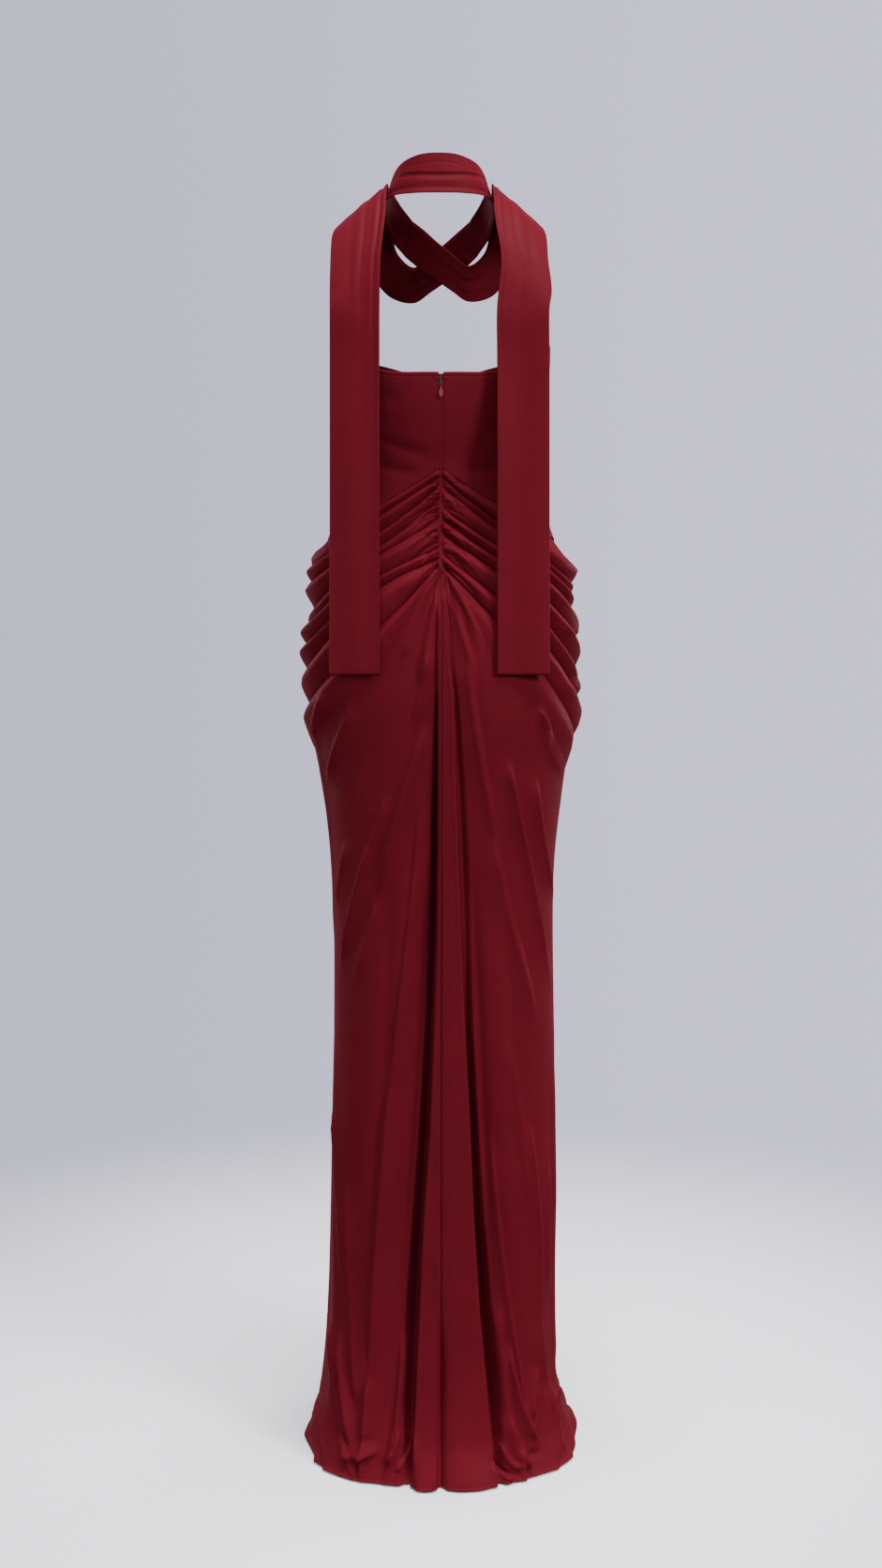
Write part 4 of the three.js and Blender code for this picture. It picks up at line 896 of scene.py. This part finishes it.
def plainMaterial(name, look):
    material = bpy.data.materials.new(name)
    material.use_nodes = True
    tree = material.node_tree
    shader = tree.nodes["Principled BSDF"]
    coordinates = addNode(tree, "ShaderNodeTexCoord")
    wear = addNode(tree, "ShaderNodeTexNoise", {
        "Vector": coordinates.outputs["Object"], "Scale": look["grain"], "Detail": 2.0})
    tint = addNode(tree, "ShaderNodeMix", data_type="RGBA")
    tree.links.new(wear.outputs["Fac"], tint.inputs[0])
    tint.inputs[6].default_value = look["deep"]
    tint.inputs[7].default_value = look["bright"]
    tree.links.new(tint.outputs[2], shader.inputs["Base Color"])
    rough = addNode(tree, "ShaderNodeMapRange", {
        "Value": wear.outputs["Fac"], "To Min": look["smoothest"], "To Max": look["roughest"]})
    tree.links.new(rough.outputs["Result"], shader.inputs["Roughness"])
    shader.inputs["Metallic"].default_value = look["metallic"]
    shader.inputs["Specular IOR Level"].default_value = look["specular"]
    return material


lacquer = plainMaterial("zipLacquer", {
    "deep": (0.12, 0.009, 0.018, 1), "bright": (0.17, 0.016, 0.028, 1), "grain": 900.0,
    "smoothest": 0.38, "roughest": 0.5, "metallic": 0.0, "specular": 0.2})
darkLacquer = plainMaterial("sliderLacquer", {
    "deep": (0.014, 0.0015, 0.003, 1), "bright": (0.03, 0.003, 0.006, 1), "grain": 900.0,
    "smoothest": 0.3, "roughest": 0.42, "metallic": 0.0, "specular": 0.25})
nylon = plainMaterial("zipNylon", {
    "deep": (0.026, 0.0018, 0.004, 1), "bright": (0.042, 0.003, 0.007, 1), "grain": 700.0,
    "smoothest": 0.42, "roughest": 0.58, "metallic": 0.0, "specular": 0.15})
thread = plainMaterial("thread", {
    "deep": (0.085, 0.004, 0.010, 1), "bright": (0.14, 0.008, 0.017, 1), "grain": 1500.0,
    "smoothest": 0.55, "roughest": 0.75, "metallic": 0.0, "specular": 0.1})

# The zip: a raised strip over two rows of teeth, a slider with a bridge, and a teardrop pull.
zipStrip = {"top": 1303.5, "foot": 1076, "halfWidth": 2.0, "footWidth": 0.9, "thickness": 1.0, "rise": 0.35,
            "rows": 220, "columns": 13, "crown": 0.35}


def backDepth(height):
    return curveThrough(sections, 3, height)


def zipStripGrid():
    height = np.linspace(zipStrip["top"], zipStrip["foot"], zipStrip["rows"])[:, None]
    across = np.linspace(1, -1, zipStrip["columns"])[None, :]
    sinking = 1 - ease(zipStrip["foot"], zipStrip["foot"] + 14, height)
    width = zipStrip["halfWidth"] + (zipStrip["footWidth"] - zipStrip["halfWidth"]) * sinking
    y = backDepth(height) + zipStrip["rise"] + zipStrip["crown"] * (1 - across ** 2) - 1.6 * sinking
    return np.stack([width * across, y + 0 * across, height + 0 * across], -1)


zipCover = clothShell("zipCover", zipStripGrid(), jersey, zipStrip["thickness"], allRound)
zipTape = {"top": 1319, "foot": 1074, "halfWidth": 6, "behind": 3.0, "behindGathers": 4.2, "thickness": 0.6,
           "rows": 120, "gathersFrom": 1205, "gathersTo": 1225}


def zipTapeGrid():
    height = np.linspace(zipTape["top"], zipTape["foot"], zipTape["rows"])[:, None]
    clear = ease(zipTape["gathersFrom"], zipTape["gathersTo"], height)
    behind = zipTape["behindGathers"] + (zipTape["behind"] - zipTape["behindGathers"]) * clear
    x = np.linspace(zipTape["halfWidth"], -zipTape["halfWidth"], 9)[None, :]
    return np.stack([x + 0 * height, backDepth(height) - behind + 0 * x, height + 0 * x], -1)


zipBacking = clothShell("zipBacking", zipTapeGrid(), nylon, zipTape["thickness"], allRound)
teeth = {"top": 1303, "foot": 1090, "apart": 0.75, "behind": 1.7,
         "pitch": 0.0011, "size": (0.00042, 0.0006, 0.0010), "unevenness": 0.03, "seed": 5}
teethHeights = np.linspace(teeth["foot"], teeth["top"], 60)
teethPaths = [[(x, float(backDepth(h)) - teeth["behind"], h) for h in teethHeights]
              for x in (-teeth["apart"], teeth["apart"])]
zipTeeth = beadsAlong("zipTeeth", teethPaths, teeth, nylon)

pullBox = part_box("zip_pull")
hingeAt = {"y": (pullBox[0].y + pullBox[1].y) * 500, "height": pullBox[1].z * 1000 + gripHeight - 0.45}
slider = {"face": hingeAt["y"] - 0.9, "thickness": 2, "bevel": 0.45, "top": 1317.4, "foot": 1303,
          "lobes": [(0, 0.98), (0.08, 1.4), (0.3, 2.0), (0.5, 1.5), (0.62, 1.65), (0.8, 2.15), (0.92, 1.7),
                    (1, 0.6)],  # share of the height, half width
          "bridgeWire": 0.5, "bridgeTop": 1309.1, "bridgeFoot": 1304.9, "bridgeReach": 2.2}


# A flat piece with rounded edges, cut to outlines of points (across, height), facing the back.
def bevelledPlate(name, outlines, middle, thickness, bevel, material):
    curve = bpy.data.curves.new(name, "CURVE")
    curve.dimensions = "2D"
    curve.fill_mode = "BOTH"
    curve.extrude = (thickness / 2 - bevel) * 0.001
    curve.bevel_depth = bevel * 0.001
    curve.bevel_resolution = 3
    curve.offset = -bevel * 0.001
    for outline in outlines:
        spline = curve.splines.new("POLY")
        spline.points.add(len(outline) - 1)
        for point, (x, height) in zip(spline.points, outline):
            point.co = (x * 0.001, (height - gripHeight) * 0.001, 0, 1)
        spline.use_cyclic_u = True
    piece = bpy.data.objects.new(name, curve)
    bpy.context.scene.collection.objects.link(piece)
    mesh = bakedMesh(piece)
    bpy.data.objects.remove(piece)
    mesh.transform(Matrix.Translation((0, middle * 0.001, 0)) @ Matrix.Rotation(quarterTurn, 4, "X"))
    mesh.materials.clear()
    mesh.materials.append(material)
    for polygon in mesh.polygons:
        polygon.use_smooth = True
    return mesh


def roundWire(name, points, radius):
    curve = bpy.data.curves.new(name, "CURVE")
    curve.dimensions = "3D"
    curve.bevel_depth = radius * 0.001
    curve.bevel_resolution = 4
    curve.use_fill_caps = True
    spline = curve.splines.new("POLY")
    spline.points.add(len(points) - 1)
    for point, (x, y, height) in zip(spline.points, points):
        point.co = (x * 0.001, y * 0.001, (height - gripHeight) * 0.001, 1)
    wire = bpy.data.objects.new(name, curve)
    bpy.context.scene.collection.objects.link(wire)
    mesh = bakedMesh(wire)
    bpy.data.objects.remove(wire)
    return mesh


def joinedPiece(name, meshes, material):
    shape = bmesh.new()
    for mesh in meshes:
        shape.from_mesh(mesh)
    bmesh.ops.remove_doubles(shape, verts=shape.verts, dist=1e-7)
    bmesh.ops.recalc_face_normals(shape, faces=shape.faces)
    whole = bpy.data.meshes.new(name)
    shape.to_mesh(whole)
    shape.free()
    whole.materials.clear()
    whole.materials.append(material)
    for polygon in whole.polygons:
        polygon.use_smooth = True
        polygon.material_index = 0
    piece = bpy.data.objects.new(name, whole)
    bpy.context.scene.collection.objects.link(piece)
    return piece


def mirrored(half):
    return half + [(-x, height) for x, height in reversed(half) if abs(x) > 1e-6]


def makeSlider():
    half = []
    for i in range(25):
        t = i / 24
        height = slider["foot"] + (slider["top"] - slider["foot"]) * t
        half.append((float(np.interp(t, *zip(*slider["lobes"]))), height))
    body = bevelledPlate("sliderBody", [mirrored(half)], slider["face"] - slider["thickness"] / 2,
                         slider["thickness"], slider["bevel"], lacquer)
    loop = []
    for i in range(17):
        turn = math.pi * i / 16
        middle = (slider["bridgeTop"] + slider["bridgeFoot"]) / 2
        reach = (slider["bridgeTop"] - slider["bridgeFoot"]) / 2
        out = slider["bridgeReach"] * math.sin(turn) ** 0.6
        loop.append((0, slider["face"] - 0.3 + out, middle + reach * math.cos(turn)))
    return joinedPiece("zipSlider", [body, roundWire("bridge", loop, slider["bridgeWire"])], darkLacquer)


zipSlider = makeSlider()
pull = {"length": 17, "eye": 0.78, "eyeMiddle": 2.4, "eyeReach": 1.7, "neck": 0.65, "neckAt": 5.4,
        "halfWidth": 2.35, "thickness": 1.1, "bevel": 0.32, "aboveHinge": 0.45,
        "shoulders": [(4.6, 0.85), (3.8, 1.2), (2.6, 1.3), (1.0, 1.3), (0.3, 1.0), (0, 0.6)]}


def makePull():
    top = hingeAt["height"] + pull["aboveHinge"]
    half = [(0, top - pull["length"])]
    for i in range(1, 25):
        t = i / 24
        drop = pull["length"] - (pull["length"] - pull["neckAt"]) * t
        half.append((pull["neck"] * t + pull["halfWidth"] * math.sin(math.pi * t ** 0.8) ** 0.75, top - drop))
    for drop, width in pull["shoulders"]:
        half.append((width, top - drop))
    half.append((0, top))
    eye = [(pull["eye"] * math.cos(turn), top - pull["eyeMiddle"] + pull["eyeReach"] * math.sin(turn))
           for turn in np.linspace(0, 2 * math.pi, 25)[:-1]]
    plate = bevelledPlate("pullPlate", [mirrored(half), eye], hingeAt["y"], pull["thickness"], pull["bevel"],
                          lacquer)
    return joinedPiece("zipPull", [plate], lacquer)


zipPull = makePull()
print("zip made")


# A path along one row of a sheet's grid, on the outer side of its wall.
def rowPath(grid, drop, thickness, first, last):
    lengths = np.cumsum(np.linalg.norm(np.diff(grid[::-1], axis=0), axis=2), 0).mean(1)
    row = len(grid) - 1 - int(np.searchsorted(lengths, drop)) - 1
    across, down = np.gradient(grid, axis=1)[row], np.gradient(grid, axis=0)[row]
    normal = np.cross(down, across)
    normal /= np.linalg.norm(normal, axis=1, keepdims=True)
    return (grid[row] - normal * (thickness + stitchLift))[first:last]


sewing = {"pitch": 0.0027, "size": (0.00105, 0.0003, 0.0003), "unevenness": 0.08, "seed": 3}
hemDepth = {"tail": 5, "skirt": 7}
stitchLift = 0.15
fineSewing = {"pitch": 0.0015, "size": (0.0006, 0.00035, 0.00035), "unevenness": 0.06, "seed": 4}
tailRows = [rowPath(endGrids[side], hemDepth["tail"], tail["thickness"], 2, -2) for side in (1, -1)]
tailSewing = beadsAlong("tailSewing", tailRows, sewing, thread)
skirtRows = [rowPath(grid, hemDepth["skirt"], clothThickness, 1, -1) for grid in skirtGrids]
hemSewing = beadsAlong("hemSewing", skirtRows, sewing, thread)


def markPath(side):
    middle, top, reach, drop = marks[side]
    turn = np.linspace(0.12, quarterTurn, 24)
    distance = middle + reach * np.cos(turn)
    height = top - drop * np.sin(turn)
    points = bodicePoint(side, angleAt(distance, height), height)
    return points + np.array([0, bodice["thickness"] + stitchLift, 0])


markSewing = beadsAlong("markSewing", [markPath(1), markPath(-1)], fineSewing, nylon)
print("sewing made")

studio = {
    "wallLeft": (0.76, 0.73, 0.97, 1), "wallRight": (0.98, 0.94, 1.22, 1), "ambient": (0.25, 0.242, 0.275, 1),
    "floor": (0.89, 0.868, 0.915, 1), "floorBounce": (0.14, 0.137, 0.145, 1),
    "floorRadius": 1.5, "floorSolid": 0.22,
}
lights = {  # watts, size, place and aim, in metres
    "keyLight": (220, 1.3, (-3.2, 2.8, 1.5), (0, 0, -0.2)),
    "fillLight": (58, 2.4, (3.4, 1.5, 0.3), (0, 0, -0.5)),
    "frontLight": (56, 2.0, (0.8, 4.2, 0.6), (0, 0, -0.4)),
    "topLight": (780, 3.4, (-0.6, 1.0, 5.2), (0, 0, -0.8)),
    "rimLeft": (62, 1.6, (2.8, -1.8, 0.2), (0, 0, -0.5)),
    "rimRight": (62, 1.6, (-2.8, -1.8, 0.2), (0, 0, -0.5)),
}
camera = {"height": 920, "distance": 1890, "lens": 34.06, "sensor": 36, "shiftY": -84 / 1672}


def makeFloor():
    mesh = bpy.data.meshes.new("floor")
    shape = bmesh.new()
    bmesh.ops.create_circle(shape, cap_ends=True, segments=96, radius=studio["floorRadius"])
    bmesh.ops.translate(shape, verts=shape.verts, vec=(0, 0, -gripHeight * 0.001))
    shape.to_mesh(mesh)
    shape.free()
    floor = bpy.data.objects.new("floor", mesh)
    bpy.context.scene.collection.objects.link(floor)
    material = bpy.data.materials.new("paleFloor")
    material.use_nodes = True
    tree = material.node_tree
    shader = tree.nodes["Principled BSDF"]
    coordinates = addNode(tree, "ShaderNodeTexCoord")
    flat = addNode(tree, "ShaderNodeVectorMath", {0: coordinates.outputs["Object"], 1: (1, 1, 0)},
                   operation="MULTIPLY")
    radius = addNode(tree, "ShaderNodeVectorMath", {0: flat.outputs[0]}, operation="LENGTH")
    fade = addNode(tree, "ShaderNodeMapRange", {
        "Value": radius.outputs["Value"], "From Min": studio["floorSolid"], "From Max": studio["floorRadius"],
        "To Min": 1.0, "To Max": 0.0}, interpolation_type="SMOOTHSTEP")
    speck = addNode(tree, "ShaderNodeTexNoise", {"Vector": coordinates.outputs["Object"], "Scale": 3.0})
    tint = addNode(tree, "ShaderNodeMapRange", {
        "Value": speck.outputs["Fac"], "To Min": 0.55, "To Max": 0.65})
    tone = addNode(tree, "ShaderNodeMix", data_type="RGBA")
    tree.links.new(addNode(tree, "ShaderNodeLightPath").outputs["Is Camera Ray"], tone.inputs[0])
    tone.inputs[6].default_value = studio["floorBounce"]
    tone.inputs[7].default_value = studio["floor"]
    tree.links.new(tone.outputs[2], shader.inputs["Base Color"])
    tree.links.new(tint.outputs["Result"], shader.inputs["Roughness"])
    tree.links.new(fade.outputs["Result"], shader.inputs["Alpha"])
    mesh.materials.append(material)
    return floor


def makeLight(name, power, size, place, aim):
    light = bpy.data.lights.new(name, "AREA")
    light.energy = power
    light.size = size
    lamp = bpy.data.objects.new(name, light)
    lamp.location = place
    lamp.rotation_euler = (Vector(aim) - Vector(place)).to_track_quat("-Z", "Y").to_euler()
    bpy.context.scene.collection.objects.link(lamp)


makeFloor()


# The wall is a little brighter towards the key light, and it lights the dress less than it shows.
def makeWorld():
    world = bpy.data.worlds.new("studio")
    bpy.context.scene.world = world
    world.use_nodes = True
    tree = world.node_tree
    direction = addNode(tree, "ShaderNodeTexCoord").outputs["Generated"]
    apart = addNode(tree, "ShaderNodeSeparateXYZ", {0: direction})
    across = addNode(tree, "ShaderNodeMapRange", {
        "Value": apart.outputs["X"], "From Min": 0.3, "From Max": -0.3}, interpolation_type="SMOOTHSTEP")
    wall = addNode(tree, "ShaderNodeMix", data_type="RGBA")
    tree.links.new(across.outputs["Result"], wall.inputs[0])
    wall.inputs[6].default_value = studio["wallLeft"]
    wall.inputs[7].default_value = studio["wallRight"]
    seen = addNode(tree, "ShaderNodeMix", data_type="RGBA")
    tree.links.new(addNode(tree, "ShaderNodeLightPath").outputs["Is Camera Ray"], seen.inputs[0])
    seen.inputs[6].default_value = studio["ambient"]
    tree.links.new(wall.outputs[2], seen.inputs[7])
    tree.links.new(seen.outputs[2], tree.nodes["Background"].inputs["Color"])


makeWorld()
for name, (power, size, place, aim) in lights.items():
    makeLight(name, power, size, place, aim)

lens = bpy.data.cameras.new("photoCamera")
lens.lens = camera["lens"]
lens.sensor_width = camera["sensor"]
lens.shift_y = camera["shiftY"]
photoCamera = bpy.data.objects.new("photoCamera", lens)
photoCamera.location = (0, camera["distance"] * 0.001, (camera["height"] - gripHeight) * 0.001)
photoCamera.rotation_euler = (quarterTurn, 0, math.pi)
bpy.context.scene.collection.objects.link(photoCamera)
bpy.context.scene.camera = photoCamera
print("stage, lights and camera made")

clothPieces = [
    # piece, node, flat width and length, how it is held
    (skirtBackLeft, "skirt_back_left", (0.25, 1.26), "gathered"),
    (skirtBackRight, "skirt_back_right", (0.25, 1.26), "gathered"),
    (skirtFront, "skirt_front", (0.42, 1.26), "gathered"),
    (bodiceBackLeft, "bodice_back_left", (0.18, 0.22), "stretched"),
    (bodiceBackRight, "bodice_back_right", (0.18, 0.22), "stretched"),
    (bodiceFront, "bodice_front", (0.42, 0.27), "stretched"),
    (scarfNeck, "scarf_neck", (0.055, 0.34), "draped"),
    (scarfLeft, "scarf_left", (0.06, 0.85), "draped"),
    (scarfRight, "scarf_right", (0.06, 0.85), "draped"),
]
for piece, node, flat, held in clothPieces:
    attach(piece, "dress")
    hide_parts(node)
for piece, body, node, slot in (
        (zipCover, "dress", "zip_chain", "zip_chain"), (zipBacking, "dress", "zip_chain", "zip_chain"),
        (zipTeeth, "dress", "zip_chain", "zip_chain"),
        (zipSlider, "dress", "zip_slider", "zip_metal"),
        (zipPull, "pull", "zip_pull", "zip_metal")):
    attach(piece, body)
    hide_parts(node)
for piece in (tailSewing, hemSewing, markSewing):
    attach(piece, "dress")
